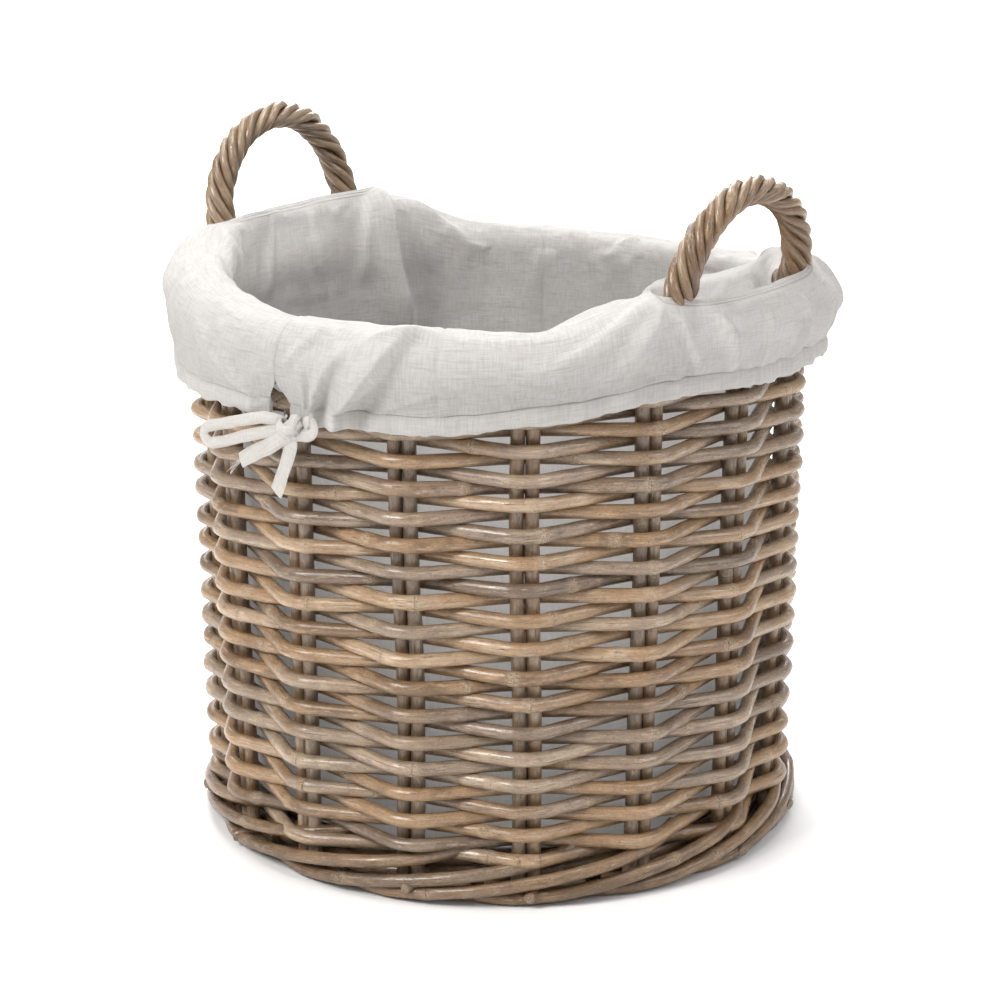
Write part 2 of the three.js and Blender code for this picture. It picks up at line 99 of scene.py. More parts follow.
def squared(vectors, ahead):
    """Unit vectors at right angles to ahead, as near as can be to the ones given."""
    vectors = np.broadcast_to(vectors, ahead.shape)
    return unit(vectors - (vectors * ahead).sum(1, keepdims=True) * ahead)


def smoothstep(low, high, x):
    t = np.clip((np.asarray(x, float) - low) / (high - low), 0, 1)
    return t * t * (3 - 2 * t)


def bell(x, width):
    """1 where x is 0, falling to nearly 0 at twice that width."""
    return np.exp(-((x / width) ** 2))


def degrees_between(angle, middle):
    """Degrees from one angle to the other, the short way round."""
    return np.abs((angle - middle + 180) % 360 - 180)


def scatter(*cells):
    """A repeatable random value from -1 to 1 for each cell of whole numbers."""
    mixed = sum(np.asarray(c, float) * k for c, k in zip(cells, (127.1, 311.7, 74.7)))
    spread = np.sin(mixed) * 43758.5453
    return 2 * (spread - np.floor(spread)) - 1


def drift(x, spacing, seed):
    """Smooth noise from -1 to 1 along x, with a fresh value every spacing."""
    place = np.asarray(x, float) / spacing
    cell = np.floor(place)
    t = smoothstep(0, 1, place - cell)
    return scatter(cell, seed) * (1 - t) + scatter(cell + 1, seed) * t


def drift2(x, y, seed):
    """Smooth noise from -1 to 1 over a plane, with a fresh value every 1 each way."""
    cx, cy = np.floor(x), np.floor(y)
    tx, ty = smoothstep(0, 1, x - cx), smoothstep(0, 1, y - cy)
    low = scatter(cx, cy, seed) * (1 - tx) + scatter(cx + 1, cy, seed) * tx
    high = scatter(cx, cy + 1, seed) * (1 - tx) + scatter(cx + 1, cy + 1, seed) * tx
    return low * (1 - ty) + high * ty


def run_of(points):
    """The distance along a line of points to each of them."""
    return np.r_[0, np.cumsum(np.linalg.norm(np.diff(points, axis=0), axis=1))]


def spaced(points, step):
    """The same line with its points that far apart."""
    run = run_of(points)
    places = np.linspace(0, run[-1], max(3, int(run[-1] / step) + 1))
    return np.stack([np.interp(places, run, points[:, k]) for k in range(3)], axis=1)


def softened(points, spread, step=1.5 * MM):
    """The same line with its corners rounded over about that distance."""
    fine = spaced(np.asarray(points, float), step)
    reach = max(1, int(3 * spread / step))
    kernel = np.exp(-0.5 * (np.arange(-reach, reach + 1) * step / spread) ** 2)
    kernel /= kernel.sum()
    before = 2 * fine[0] - fine[reach:0:-1]
    after = 2 * fine[-1] - fine[-2:-reach - 2:-1]
    padded = np.concatenate([before, fine, after])
    return np.stack([np.convolve(padded[:, k], kernel, "valid") for k in range(3)], axis=1)


# ---- camera, lights and floor ----
AIM_HEIGHT = 0.3


def placed(name, data):
    """A new object in the scene that shows that data."""
    made = bpy.data.objects.new(name, data)
    bpy.context.scene.collection.objects.link(made)
    return made


def make_camera():
    turn, pitch, distance, height = 40 * DEG, 15.516 * DEG, 1.85, 0.752
    data = bpy.data.cameras.new("camera")
    data.lens = 88.9
    data.sensor_width = 36
    camera = placed("camera", data)
    camera.location = (distance * math.sin(turn), -distance * math.cos(turn), height)
    camera.rotation_euler = (math.pi / 2 - pitch, 0, turn)
    bpy.context.scene.camera = camera


def area_light(name, angle, distance, height, size, power, colour=(1, 1, 1)):
    """A soft light at that angle round the basket, pointing straight down."""
    data = bpy.data.lights.new(name, "AREA")
    data.size = size
    data.energy = power
    data.color = colour
    light = placed(name, data)
    a = angle * DEG
    light.location = (distance * math.sin(a), -distance * math.cos(a), height)
    return light


def aimed_light(name, angle, distance, height, size, power, colour=(1, 1, 1)):
    """The same, turned towards the basket's upper half."""
    light = area_light(name, angle, distance, height, size, power, colour)
    rise = math.atan2(height - AIM_HEIGHT, distance)
    light.rotation_euler = (math.pi / 2 - rise, 0, angle * DEG)


def make_studio():
    aimed_light("key_light", -11, 2.1, 2.0, 1.0, 58, (1.0, 0.99, 0.97))
    aimed_light("fill_light", 100, 2.4, 2.1, 1.8, 29, (0.97, 0.98, 1.0))
    aimed_light("back_light", 235, 2.2, 2.4, 1.5, 25)
    area_light("over_light", 40, 0.01, 2.3, 1.2, 32)
    area_light("sweep_light", 220, 7.0, 4.5, 6.0, 1000)
    world = bpy.data.worlds.new("studio")
    world.use_nodes = True
    background = world.node_tree.nodes["Background"]
    background.inputs["Color"].default_value = (1, 1, 1, 1)
    background.inputs["Strength"].default_value = 0.5
    bpy.context.scene.world = world
    bpy.context.scene.view_settings.view_transform = "Standard"
    floor = bpy.data.meshes.new("studio_floor")
    wide = 14
    floor.from_pydata([(-wide, -wide, 0), (wide, -wide, 0), (wide, wide, 0), (-wide, wide, 0)],
                      [], [(0, 1, 2, 3)])
    plane = placed("studio_floor", floor)
    plane.location.z = -0.3 * MM
    pale = bpy.data.materials.new("pale_floor")
    pale.use_nodes = True
    skin = pale.node_tree.nodes["Principled BSDF"]
    skin.inputs["Base Color"].default_value = (0.86, 0.86, 0.86, 1)
    skin.inputs["Roughness"].default_value = 0.9
    floor.materials.append(pale)


# ---- pieces from arrays ----
class Piece:
    """Gathers parts of one piece, with a grain vector and three marks at each vertex."""

    def __init__(self):
        self.verts, self.faces, self.grain, self.marks = [], [], [], []
        self.count = 0

    def add(self, verts, faces, grain, marks):
        """Adds one part. The arrays may be grids, with three numbers at each vertex."""
        self.faces.extend([tuple(i + self.count for i in face) for face in faces])
        for held, added in ((self.verts, verts), (self.grain, grain), (self.marks, marks)):
            held.append(added.reshape(-1, 3))
        self.count += len(self.verts[-1])

    def make(self, name, material, body, replaces=()):
        mesh = bpy.data.meshes.new(name)
        mesh.from_pydata(np.concatenate(self.verts).tolist(), [], self.faces)
        mesh.validate()
        grain = mesh.attributes.new("grain", "FLOAT_VECTOR", "POINT")
        grain.data.foreach_set("vector", np.concatenate(self.grain).astype("f4").ravel())
        marks = np.concatenate(self.marks).astype("f4")
        for k, mark in enumerate(("tone", "grey", "knot")):
            values = mesh.attributes.new(mark, "FLOAT", "POINT")
            values.data.foreach_set("value", np.ascontiguousarray(marks[:, k]))
        mesh.polygons.foreach_set("use_smooth", [True] * len(mesh.polygons))
        mesh.materials.append(material)
        piece = placed(name, mesh)
        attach(piece, body)
        if replaces:
            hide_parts(*replaces)
        return piece


def grid_faces(rows, columns, closed):
    """Faces of a grid of vertices, row after row; closed joins the last column to the first."""
    last = columns if closed else columns - 1
    return [(r * columns + c, r * columns + (c + 1) % columns,
             (r + 1) * columns + (c + 1) % columns, (r + 1) * columns + c)
            for r in range(rows - 1) for c in range(last)]


def tube_faces(rows, sides):
    """Faces of a tube, ring after ring, with a cap on each end."""
    return grid_faces(rows, sides, True) + [
        tuple(range(sides - 1, -1, -1)), tuple((rows - 1) * sides + i for i in range(sides))]


def knot_marks(knot):
    """Marks with only a knot value, which on cloth stands for stitching and is darkened there as
    painted shadow.
    """
    return np.stack([0 * knot, 0 * knot, knot], axis=-1)


NODE_HALF_WIDTH = 3.2 * MM
NODE_RISE = 0.45 * MM
CUT_CHAMFER = 0.5 * MM


def add_cane(piece, line, radius, outward, seed, sides, tone=0.0, grey=0.0, depth=1.0):
    """Adds a cane along a line. outward points away from what the cane lies on."""
    ahead = unit(np.gradient(line, axis=0))
    side = squared(outward, ahead)
    up = np.cross(ahead, side)
    run = run_of(line)

    knots = np.cumsum(0.12 + 0.07 * (1 + scatter(np.arange(40), seed)))
    knots = knots - 0.1 * (1 + scatter(seed, 5))
    near = np.abs(run[:, None] - knots[None, :]).min(axis=1)
    knot = bell(near, NODE_HALF_WIDTH)
    thick = radius * (1 + 0.035 * drift(run, 0.05, seed) + 0.02 * drift(run, 0.013, seed + 1))
    thick = thick + NODE_RISE * knot

    line = np.concatenate([line[:1] - ahead[:1] * CUT_CHAMFER, line,
                           line[-1:] + ahead[-1:] * CUT_CHAMFER])
    thick = np.r_[0.84 * thick[0], thick, 0.84 * thick[-1]]
    side, up = (np.concatenate([v[:1], v, v[-1:]]) for v in (side, up))
    run = np.r_[-CUT_CHAMFER, run, run[-1] + CUT_CHAMFER]
    knot = np.r_[0.6, knot, 0.6]

    a = 2 * math.pi * np.arange(sides) / sides
    across = thick[:, None] * depth * np.cos(a)
    along = thick[:, None] * np.sin(a)
    verts = line[:, None] + across[..., None] * side[:, None] + along[..., None] * up[:, None]
    shift = 3.7 * scatter(seed, 2)
    grain = np.stack([across, along, np.broadcast_to(run[:, None] + shift, across.shape)], axis=-1)
    shade = tone + 0.3 * drift(run, 0.09, seed + 2) + 0.22 * drift(run, 0.03, seed + 3)
    ashen = grey + 0.35 * drift(run, 0.14, seed + 4)
    marks = np.stack([np.repeat(m[:, None], sides, axis=1) for m in (shade, ashen, knot)], axis=-1)
    piece.add(verts, tube_faces(len(line), sides), grain, marks)


def radially(line):
    """Directions away from the basket's axis."""
    return unit(line * (1, 1, 0))


# ---- materials ----
class Graph:
    """Short ways of adding nodes to one node tree."""

    def __init__(self, tree):
        self.tree = tree

    def feed(self, socket, value):
        if isinstance(value, bpy.types.NodeSocket):
            self.tree.links.new(value, socket)
        else:
            socket.default_value = value

    def add(self, kind, inputs=(), **settings):
        made = self.tree.nodes.new(kind)
        for key, value in settings.items():
            setattr(made, key, value)
        for key, value in dict(inputs).items():
            self.feed(made.inputs[key], value)
        return made

    def maths(self, operation, a, b=0.0, clamp=False):
        return self.add("ShaderNodeMath", {0: a, 1: b}, operation=operation,
                        use_clamp=clamp).outputs[0]

    def plus(self, a, b, clamp=False):
        return self.maths("ADD", a, b, clamp)

    def minus(self, a, b):
        return self.maths("SUBTRACT", a, b)

    def times(self, a, b):
        return self.maths("MULTIPLY", a, b)

    def stretch(self, vector, scale):
        return self.add("ShaderNodeVectorMath", {0: vector, 1: scale},
                        operation="MULTIPLY").outputs[0]

    def noise(self, vector, scale, detail, roughness):
        return self.add("ShaderNodeTexNoise", {"Vector": vector, "Scale": scale, "Detail": detail,
                                               "Roughness": roughness}).outputs[0]

    def span(self, value, low, high, to_low=0.0, to_high=1.0):
        return self.add("ShaderNodeMapRange", {"Value": value, "From Min": low, "From Max": high,
                                               "To Min": to_low, "To Max": to_high},
                        interpolation_type="SMOOTHSTEP").outputs[0]

    def mix(self, factor, a, b):
        """Mixes two colours: sockets 6 and 7 are the node's colour inputs."""
        return self.add("ShaderNodeMix", {0: factor, 6: a, 7: b}, data_type="RGBA").outputs[2]

    def layered(self, colour, *layers):
        """Colours laid over one another: each layer is how much of it, and its colour."""
        for amount, over in layers:
            colour = self.mix(amount, colour, over)
        return colour

    def mark(self, name, output):
        return self.add("ShaderNodeAttribute", attribute_name=name).outputs[output]


def node_group(name, inputs, outputs):
    """A shader group with those sockets, its graph, and its input and output nodes."""
    tree = bpy.data.node_groups.new(name, "ShaderNodeTree")
    for label, kind, value in inputs:
        tree.interface.new_socket(label, in_out="INPUT", socket_type=kind).default_value = value
    for label, kind in outputs:
        tree.interface.new_socket(label, in_out="OUTPUT", socket_type=kind)
    graph = Graph(tree)
    return tree, graph, graph.add("NodeGroupInput"), graph.add("NodeGroupOutput")


COLOUR, VALUE = "NodeSocketColor", "NodeSocketFloat"
RUST = (0.16, 0.062, 0.024, 1)


def cane_skin_group():
    """Peeled cane: long fibres, blotches, splits, pits, scuffs and crusty nodes."""
    tree, g, given, out = node_group(
        "cane_skin",
        [("Tan", COLOUR, (0.4, 0.27, 0.15, 1)), ("Grey", COLOUR, (0.3, 0.24, 0.19, 1)),
         ("Dark", COLOUR, (0.12, 0.07, 0.04, 1)), ("Pale", COLOUR, (0.6, 0.5, 0.37, 1)),
         ("Wear", VALUE, 0.5)],
        [("Color", COLOUR), ("Roughness", VALUE), ("Height", VALUE)])
    tan, grey, dark, pale, wear = given.outputs[:5]
    grain = g.mark("grain", "Vector")
    fibre = g.noise(g.stretch(grain, (1, 1, 0.035)), 1100, 3, 0.6)
    blotch = g.noise(g.stretch(grain, (1, 1, 0.5)), 110, 3, 0.55)
    ash = g.noise(g.stretch(grain, (1, 1, 0.3)), 36, 2, 0.5)
    split = g.noise(g.stretch(grain, (1, 1, 0.018)), 620, 1, 0.4)
    pit = g.noise(grain, 900, 2, 0.6)
    scuff = g.noise(g.stretch(grain, (1, 1, 0.22)), 480, 3, 0.7)

    speck = g.noise(g.stretch(grain, (1, 1, 0.25)), 1900, 2, 0.7)
    scar = g.noise(g.stretch(grain, (1, 1, 0.16)), 75, 3, 0.75)

    ashen = g.plus(g.mark("grey", "Fac"), g.span(ash, 0.35, 0.65, -0.3, 0.3))
    shade = g.plus(g.mark("tone", "Fac"), g.span(blotch, 0.3, 0.7, -0.45, 0.45))
    cracked = g.span(g.maths("ABSOLUTE", g.minus(split, 0.5)), 0.016, 0.003)
    cracked = g.times(cracked, g.span(blotch, 0.5, 0.62))
    pitted = g.span(pit, 0.6, 0.7)
    scuffed = g.times(g.span(scuff, 0.56, 0.72), wear)
    scarred = g.times(g.span(scar, 0.66, 0.74), g.span(speck, 0.36, 0.56, 0.3, 0.8))
    knot = g.mark("knot", "Fac")
    crust = g.times(knot, g.span(pit, 0.38, 0.6))
    colour = g.layered(
        g.mix(g.span(ashen, -0.35, 0.55), tan, grey),
        (g.span(speck, 0.5, 0.72, 0, 0.45), dark), (g.span(speck, 0.46, 0.3, 0, 0.3), pale),
        (g.span(shade, 0.0, 0.85, 0, 0.5), pale), (g.span(shade, 0.0, -0.85, 0, 0.55), dark),
        (g.span(fibre, 0.42, 0.68, 0, 0.42), dark), (g.times(cracked, 0.75), dark),
        (g.times(pitted, 0.6), dark), (scuffed, pale), (scarred, RUST),
        (g.times(crust, 0.85), pale), (g.times(g.span(knot, 0.86, 1.0), 0.5), dark))

    rough = g.plus(g.span(fibre, 0.35, 0.68, 0.22, 0.44), g.times(knot, 0.25))
    rough = g.plus(rough, g.times(scuffed, 0.3), clamp=True)
    height = g.minus(g.minus(g.times(fibre, 0.35), cracked), g.times(pitted, 0.5))
    height = g.plus(height, g.times(crust, 1.4))
    g.feed(out.inputs["Color"], colour)
    g.feed(out.inputs["Roughness"], rough)
    g.feed(out.inputs["Height"], height)
    return tree


def cloth_weave_group():
    """Plain-weave cotton: threads both ways, slubs, a little uneven wash, and painted shadow along
    the stitching.
    """
    tree, g, given, out = node_group(
        "cloth_weave",
        [("Cloth", COLOUR, (0.78, 0.76, 0.72, 1)), ("Shade", COLOUR, (0.6, 0.58, 0.55, 1)),
         ("Slubs", VALUE, 0.5)],
        [("Color", COLOUR), ("Height", VALUE)])
    cloth, shade, slubs = given.outputs[:3]
    grain = g.mark("grain", "Vector")
    weft = g.noise(g.stretch(grain, (0.07, 1, 1)), 900, 3, 0.7)
    warp = g.noise(g.stretch(grain, (1, 0.07, 1)), 900, 3, 0.7)
    slub = g.noise(g.stretch(grain, (0.12, 1, 1)), 420, 3, 0.7)
    wash = g.noise(grain, 24, 3, 0.55)
    threads = g.plus(weft, warp)
    stitch_shadow_and_groove = g.mark("knot", "Fac")
    # The knot mark darkens the cloth towards Shade: along stitching this is painted shadow of its
    # groove, which the bump also sinks.
    colour = g.layered(cloth, (g.span(threads, 0.85, 1.2, 0, 0.62), shade),
                       (g.times(g.span(slub, 0.52, 0.7), slubs), shade),
                       (g.span(wash, 0.35, 0.7, 0, 0.12), shade), (g.times(stitch_shadow_and_groove, 0.35), shade))
    height = g.plus(threads, g.times(slub, 0.8))
    g.feed(out.inputs["Color"], colour)
    g.feed(out.inputs["Height"], g.minus(height, g.times(stitch_shadow_and_groove, 2.5)))
    return tree


cane_skin = cane_skin_group()
cloth_weave = cloth_weave_group()


def finished_material(name, group, values, bump, specular, roughness=None, sheen=0.0):
    """A surface whose colour and relief come from a group; roughness too unless it is given."""
    material = bpy.data.materials.new(name)
    material.use_nodes = True
    g = Graph(material.node_tree)
    skin = material.node_tree.nodes["Principled BSDF"]
    detail = g.add("ShaderNodeGroup", node_tree=group)
    for label, value in values.items():
        detail.inputs[label].default_value = value
    relief = g.add("ShaderNodeBump", {"Height": detail.outputs["Height"], "Strength": 1.0,
                                      "Distance": bump})
    g.feed(skin.inputs["Base Color"], detail.outputs["Color"])
    g.feed(skin.inputs["Normal"], relief.outputs["Normal"])
    if roughness is None:
        g.feed(skin.inputs["Roughness"], detail.outputs["Roughness"])
    else:
        skin.inputs["Roughness"].default_value = roughness
    skin.inputs["Specular IOR Level"].default_value = specular
    skin.inputs["Sheen Weight"].default_value = sheen
    return material


def cane_material(name, tan, grey, dark, pale, wear=0.4):
    values = {"Tan": (*tan, 1), "Grey": (*grey, 1), "Dark": (*dark, 1), "Pale": (*pale, 1),
              "Wear": wear}
    return finished_material(name, cane_skin, values, 0.4 * MM, 0.75)


def cloth_material(name, cloth, shade, slubs):
    """Thin cotton: some of the light that falls on its back comes through."""
    values = {"Cloth": (*cloth, 1), "Shade": (*shade, 1), "Slubs": slubs}
    material = finished_material(name, cloth_weave, values, 0.3 * MM, 0.2, roughness=0.92,
                                 sheen=0.1)
    g = Graph(material.node_tree)
    skin = material.node_tree.nodes["Principled BSDF"]
    output = material.node_tree.nodes["Material Output"]
    through = g.add("ShaderNodeBsdfTranslucent", {"Color": (*cloth, 1)})
    mixed = g.add("ShaderNodeMixShader", {0: 0.42, 1: skin.outputs[0], 2: through.outputs[0]})
    g.feed(output.inputs["Surface"], mixed.outputs[0])
    return material


weaver_cane = cane_material("weaver_cane", (0.36, 0.222, 0.116), (0.29, 0.212, 0.15),
                            (0.06, 0.028, 0.011), (0.61, 0.465, 0.32))
# The foot's cane is a darker copy of the stake cane: painted shade, as if little light reached the
# foot.
foot_cane_painted_shade = cane_material("foot_cane_painted_shade", (0.255, 0.15, 0.073), (0.21, 0.142, 0.09),
                          (0.055, 0.027, 0.011), (0.50, 0.385, 0.265))
stake_cane = cane_material("stake_cane", (0.28, 0.17, 0.09), (0.235, 0.168, 0.114),
                           (0.06, 0.032, 0.015), (0.50, 0.39, 0.28), 0.25)
handle_cane = cane_material("handle_cane", (0.215, 0.122, 0.058), (0.195, 0.13, 0.08),
                            (0.04, 0.019, 0.008), (0.43, 0.315, 0.20), 0.3)
cotton = cloth_material("liner_cotton", (0.672, 0.657, 0.642), (0.42, 0.405, 0.39), 0.6)
hem_cotton = cloth_material("hem_cotton", (0.72, 0.705, 0.685), (0.47, 0.452, 0.435), 0.5)
tie_cotton = cloth_material("tie_cotton", (0.76, 0.738, 0.705), (0.50, 0.478, 0.45), 0.4)


# ---- stakes ----
def stake_lean(index, z):
    """How many degrees a pair wanders from its true place at that height."""
    return 0.75 * drift(np.asarray(z) + 0.37 * (index % STAKE_PAIRS), 0.17, 11)


def make_stakes():
    for i in range(STAKE_PAIRS):
        piece = Piece()
        for k, side in enumerate((-1, 1)):
            seed = 100 + 2 * i + k
            low = stake_low.z + 1.5 * MM * (1 + scatter(seed, 1))
            z = np.arange(low, stake_high.z, 5 * MM)
            apart = side * (STAKE_RADIUS + 0.25 * MM + 0.2 * MM * drift(z, 0.06, seed))
            angle = i * STAKE_STEP + stake_lean(i, z)
            line = around(wall(z) + 0.5 * MM * drift(z, 0.09, seed + 40), angle, z)
            along = np.stack([np.cos(angle * DEG), np.sin(angle * DEG), 0 * z], axis=1)
            line = line + along * apart[:, None]
            add_cane(piece, line, STAKE_RADIUS * (1.03 + 0.03 * scatter(seed, 3)),
                     radially(line), seed, 12, 0.35 * scatter(seed, 4), 0.45 * scatter(seed, 6))
        name = f"stake_pair_{i + 1:02d}"
        piece.make(f"wall_stakes_{i + 1:02d}", stake_cane, "basket", [name])


# ---- weavers ----
OUTSIDE_REACH = STAKE_RADIUS + WEAVER_RADIUS + 0.6 * MM
INSIDE_REACH = STAKE_RADIUS + WEAVER_RADIUS + CLEAR
OUTSIDE_SHOULDER = 8.0 * MM  # half the stretch that lies flat across a pair
INSIDE_SHOULDER = 6.0 * MM
BEND_SPREAD = 3.6 * MM


def settling(angle, z):
    """How far the rows have been beaten down out of true."""
    wave = np.sin(2 * angle * DEG + 23 * z) + 0.7 * np.sin(3 * angle * DEG - 35 * z + 1.3)
    return 1.2 * MM * wave


def weaver_line(side, first, last):
    bends = []
    for crossing in range(first, last + 1):
        turn, pair = divmod(crossing, STAKE_PAIRS)
        row = 2 * turn + (0 if side > 0 else 1)
        outside = (crossing % 2 == 0) == (side > 0)
        angle = 180 + crossing * STAKE_STEP
        z = first_row + row * row_pitch + settling(angle, first_row + row * row_pitch)
        z += (1.5 if outside else 0.7) * MM * scatter(crossing, 31 + side)
        angle += float(stake_lean(pair + STAKE_PAIRS // 2, z))
        reach = OUTSIDE_REACH if outside else -INSIDE_REACH
        reach += 0.35 * MM * scatter(crossing, 53 + side)
        shoulder = OUTSIDE_SHOULDER if outside else INSIDE_SHOULDER
        middle = around(wall(z) + reach, angle, z)
        along = np.array([math.cos(angle * DEG), math.sin(angle * DEG), 0])
        bends += [middle - shoulder * along, middle + shoulder * along]
    return spaced(softened(np.array(bends), BEND_SPREAD), BEND_SPREAD)


CROSSINGS_PER_CANE = 10
FEWEST_CROSSINGS = 6


def make_weavers():
    crossings = STAKE_PAIRS * row_count // 2
    for letter, side in (("a", 1), ("b", -1)):
        inside = 1 if side > 0 else 0
        joints = [0]
        joints += [2 * math.floor(k * crossings / CANES_PER_WEAVER / 2 + 0.5) + inside
                   for k in range(1, CANES_PER_WEAVER)]
        joints.append(crossings - 1)
        for k in range(CANES_PER_WEAVER):
            piece = Piece()
            # Each length is pieced from several canes, so that their colours change.
            cuts = list(range(joints[k], joints[k + 1], CROSSINGS_PER_CANE)) + [joints[k + 1]]
            if cuts[-1] - cuts[-2] < FEWEST_CROSSINGS:
                cuts.pop(-2)
            for m, (start, stop) in enumerate(zip(cuts, cuts[1:])):
                seed = 300 + 40 * k + 3 * m + (200 if side > 0 else 0)
                line = weaver_line(side, start, stop)
                radius = WEAVER_RADIUS * (0.98 + 0.05 * scatter(seed, 8))
                add_cane(piece, line, radius, radially(line), seed, 10,
                         0.5 * scatter(seed, 9), 0.05 + 0.8 * scatter(seed, 10))
            name = f"weaver_{letter}{k + 1}"
            piece.make(f"wall_cane_{letter}{k + 1}", weaver_cane, "basket", [name])


# ---- foot and rim borders ----
FOOT_CANE = 4.85 * MM
FOOT_END = 4.2 * MM  # the radius of a cut end that sticks out of the foot
RIM_CANE = 4.4 * MM


# Each strand of the foot: how far out it lies and how high, in millimetres, at even places
# along it, and its share of the sweep. The outer one first, then the inner one and the
# one underneath.
FOOT_STRANDS = (
    ((-9, 7, 13.5, 15, 15.5, 15, 14, 11, 3), (37, 32, 27.5, 22.5, 17.5, 12.5, 8, 5.2, 5), 1),
    ((-12, -13, -13.5, -13.5, -13, -12), (26, 22, 17, 12, 8, 6), 0.9),
    ((-4, 2, 5, 5, 2, -4), (8, 6.5, 5.6, 5.4, 6.5, 8), 0.6),
)
RIM_OUTS = (-12, -9.5, -4, 3, 9, 12, 12.5)
RIM_HEIGHTS = (-13, -8.5, -5.4, -5.2, -7.5, -11, -14)  # above the rim's top
RIM_SWEEP = 46


def border_strand(angle, sweep, outs, heights, spread=6 * MM):
    """A strand round the wall: distances out from it and heights at even places along."""
    places = np.linspace(0, 1, len(outs))
    u = np.linspace(0, 1, 60)
    out = np.interp(u, places, outs) * MM
    z = np.interp(u, places, heights) * MM
    line = around(wall(z) + out, angle + sweep * u, z)
    return spaced(softened(line, spread), 4 * MM)


def make_foot():
    """Each pair's canes turn out round their neighbours, slant down and tuck under."""
    piece = Piece()
    for i in range(STAKE_PAIRS):
        seed = 700 + i
        angle = (i + 0.42 + 0.1 * scatter(seed, 1)) * STAKE_STEP
        sweep = -(66 + 4 * scatter(seed, 2))
        # The tone is a random part lowered by 0.3: the lowering is painted shade on the foot.
        tone_grey_with_painted_shade = (0.25 * scatter(seed, 3) - 0.3, 0.4 * scatter(seed, 4) - 0.1)
        for part, (outs, heights, share) in enumerate(FOOT_STRANDS):
            line = border_strand(angle, sweep * share, outs, heights)
            add_cane(piece, line, FOOT_CANE, radially(line), seed + 30 * part, 10, *tone_grey_with_painted_shade)
        if i % 3 != 1:
            end = angle - 30 + 6 * scatter(seed, 7)
            z = (15 + 3 * scatter(seed, 8)) * MM
            out = np.linspace(-2, 19, 6) * MM
            line = around(wall(z) + out, end - 0.12 * out / MM, z - 0.25 * out)
            add_cane(piece, line, FOOT_END, UP, seed + 95, 12, -0.2, 0.3)
    piece.make("foot_canes", foot_cane_painted_shade, "basket", ["foot_border"])


def make_rim():
    """A rolled border over the tops of the stakes; the cuff covers it."""
    piece = Piece()
    for i in range(STAKE_PAIRS):
        seed = 800 + i
        angle = i * STAKE_STEP
        for part, (shift, lower) in enumerate(((0, 0), (11, 0.6))):
            heights = np.array(RIM_HEIGHTS) + RIM / MM - lower
            line = border_strand(angle + shift, RIM_SWEEP, RIM_OUTS, heights, 5 * MM)
            add_cane(piece, line, RIM_CANE, radially(line), seed + 30 * part, 10,
                     0.25 * scatter(seed, 3), 0.4 * scatter(seed, 4))
    piece.make("rim_canes", weaver_cane, "basket", ["rim_border"])


# ---- base ----
STICK_RADIUS = 4.5 * MM
STICKS_EACH_WAY = STAKE_PAIRS // 4
stick_height = (weave_low.z + weave_high.z) / 2


def make_base_sticks():
    reach = weave_high.x
    apart = 2 * STICK_RADIUS + CLEAR
    for way, along_x in (("lower", True), ("upper", False)):
        for i in range(STICKS_EACH_WAY):
            lane = i - (STICKS_EACH_WAY - 1) / 2
            fan = lane * STAKE_STEP * DEG
            crossing = stick_height + (-0.5 if along_x else 0.5) * apart
            half = [(reach * math.cos(fan), reach * math.sin(fan), stick_height),
                    (78 * MM * math.cos(fan), 78 * MM * math.sin(fan), stick_height),
                    (26 * MM, lane * apart, crossing)]
            line = np.array(half + [(-x, y, z) for x, y, z in reversed(half)])
            if not along_x:
                line = line[:, [1, 0, 2]] * (-1, 1, 1)
            line = spaced(softened(line, 8 * MM), 6 * MM)
            piece = Piece()
            seed = 900 + i + (10 if along_x else 0)
            add_cane(piece, line, STICK_RADIUS, UP, seed, 12,
                     0.2 * scatter(seed, 1), 0.3 * scatter(seed, 2))
            piece.make(f"base_cane_{way}_{i + 1}", stake_cane, "basket",
                       [f"base_stick_{way}_{i + 1}"])


def make_base_weave():
    """Two thin canes wind out from the middle, over and under the fan of sticks."""
    piece = Piece()
    arms = 4 * STICKS_EACH_WAY
    inner, outer, thin = 47 * MM, weave_high.x - 3 * MM, 3.1 * MM
    turn_pitch = 12.6 * MM
    turns = (outer - inner) / turn_pitch
    for k, phase in enumerate((0, math.pi)):
        angle = np.arange(0, 360 * turns, 1.6)
        radius = inner + (angle / 360 + k / 2) * turn_pitch
        keep = radius < outer
        angle, radius = angle[keep], radius[keep]
        wave = np.cos(arms / 2 * (angle - STAKE_STEP / 2) * DEG + phase)
        rise = (STICK_RADIUS + thin) * np.sign(wave) * np.abs(wave) ** 0.7
        line = spaced(around(radius, angle, stick_height + rise), 5 * MM)
        add_cane(piece, line, thin, UP, 950 + k, 7)
    piece.make("base_winding", weaver_cane, "basket", ["base_weave"])


# ---- handles ----
STRANDS = 6
STRAND_TURNS = 3.3
CORE_RADIUS = 4.2 * MM
STRAND_ORBIT = 7.7
STRAND_RADIUS = 3.75
SLYPE = (16 * MM, 0, 60 * MM)  # how far a core's cut end goes in and down
half_span = core_high.y - CORE_RADIUS
rope_top = core_high.z - CORE_RADIUS
rope_foot = RIM - 14 * MM
handle_plane = core_low.x + CORE_RADIUS
leg_height = rope_top - rope_foot - half_span


def rope_line(steps, lean, early, tall):
    """The middle of the right handle's rope: two legs joined by a half circle.

    lean is how far its top stands out, early how soon it gets there, and tall its height.
    """
    length = 2 * leg_height + math.pi * half_span
    run = np.linspace(0, length, steps)
    turned = np.clip((run - leg_height) / half_span, 0, math.pi)
    leg = np.minimum(np.minimum(run, leg_height), length - run)
    height = leg + half_span * np.sin(turned)
    share = height / (rope_top - rope_foot)
    out = lean * (early * (1 - (1 - share) ** 3) + (1 - early) * share)
    narrow = 1 - 0.05 * smoothstep(0.1, 0.9, share)
    return np.stack([handle_plane + out, -half_span * narrow * np.cos(turned),
                     rope_foot + tall * height], axis=1)


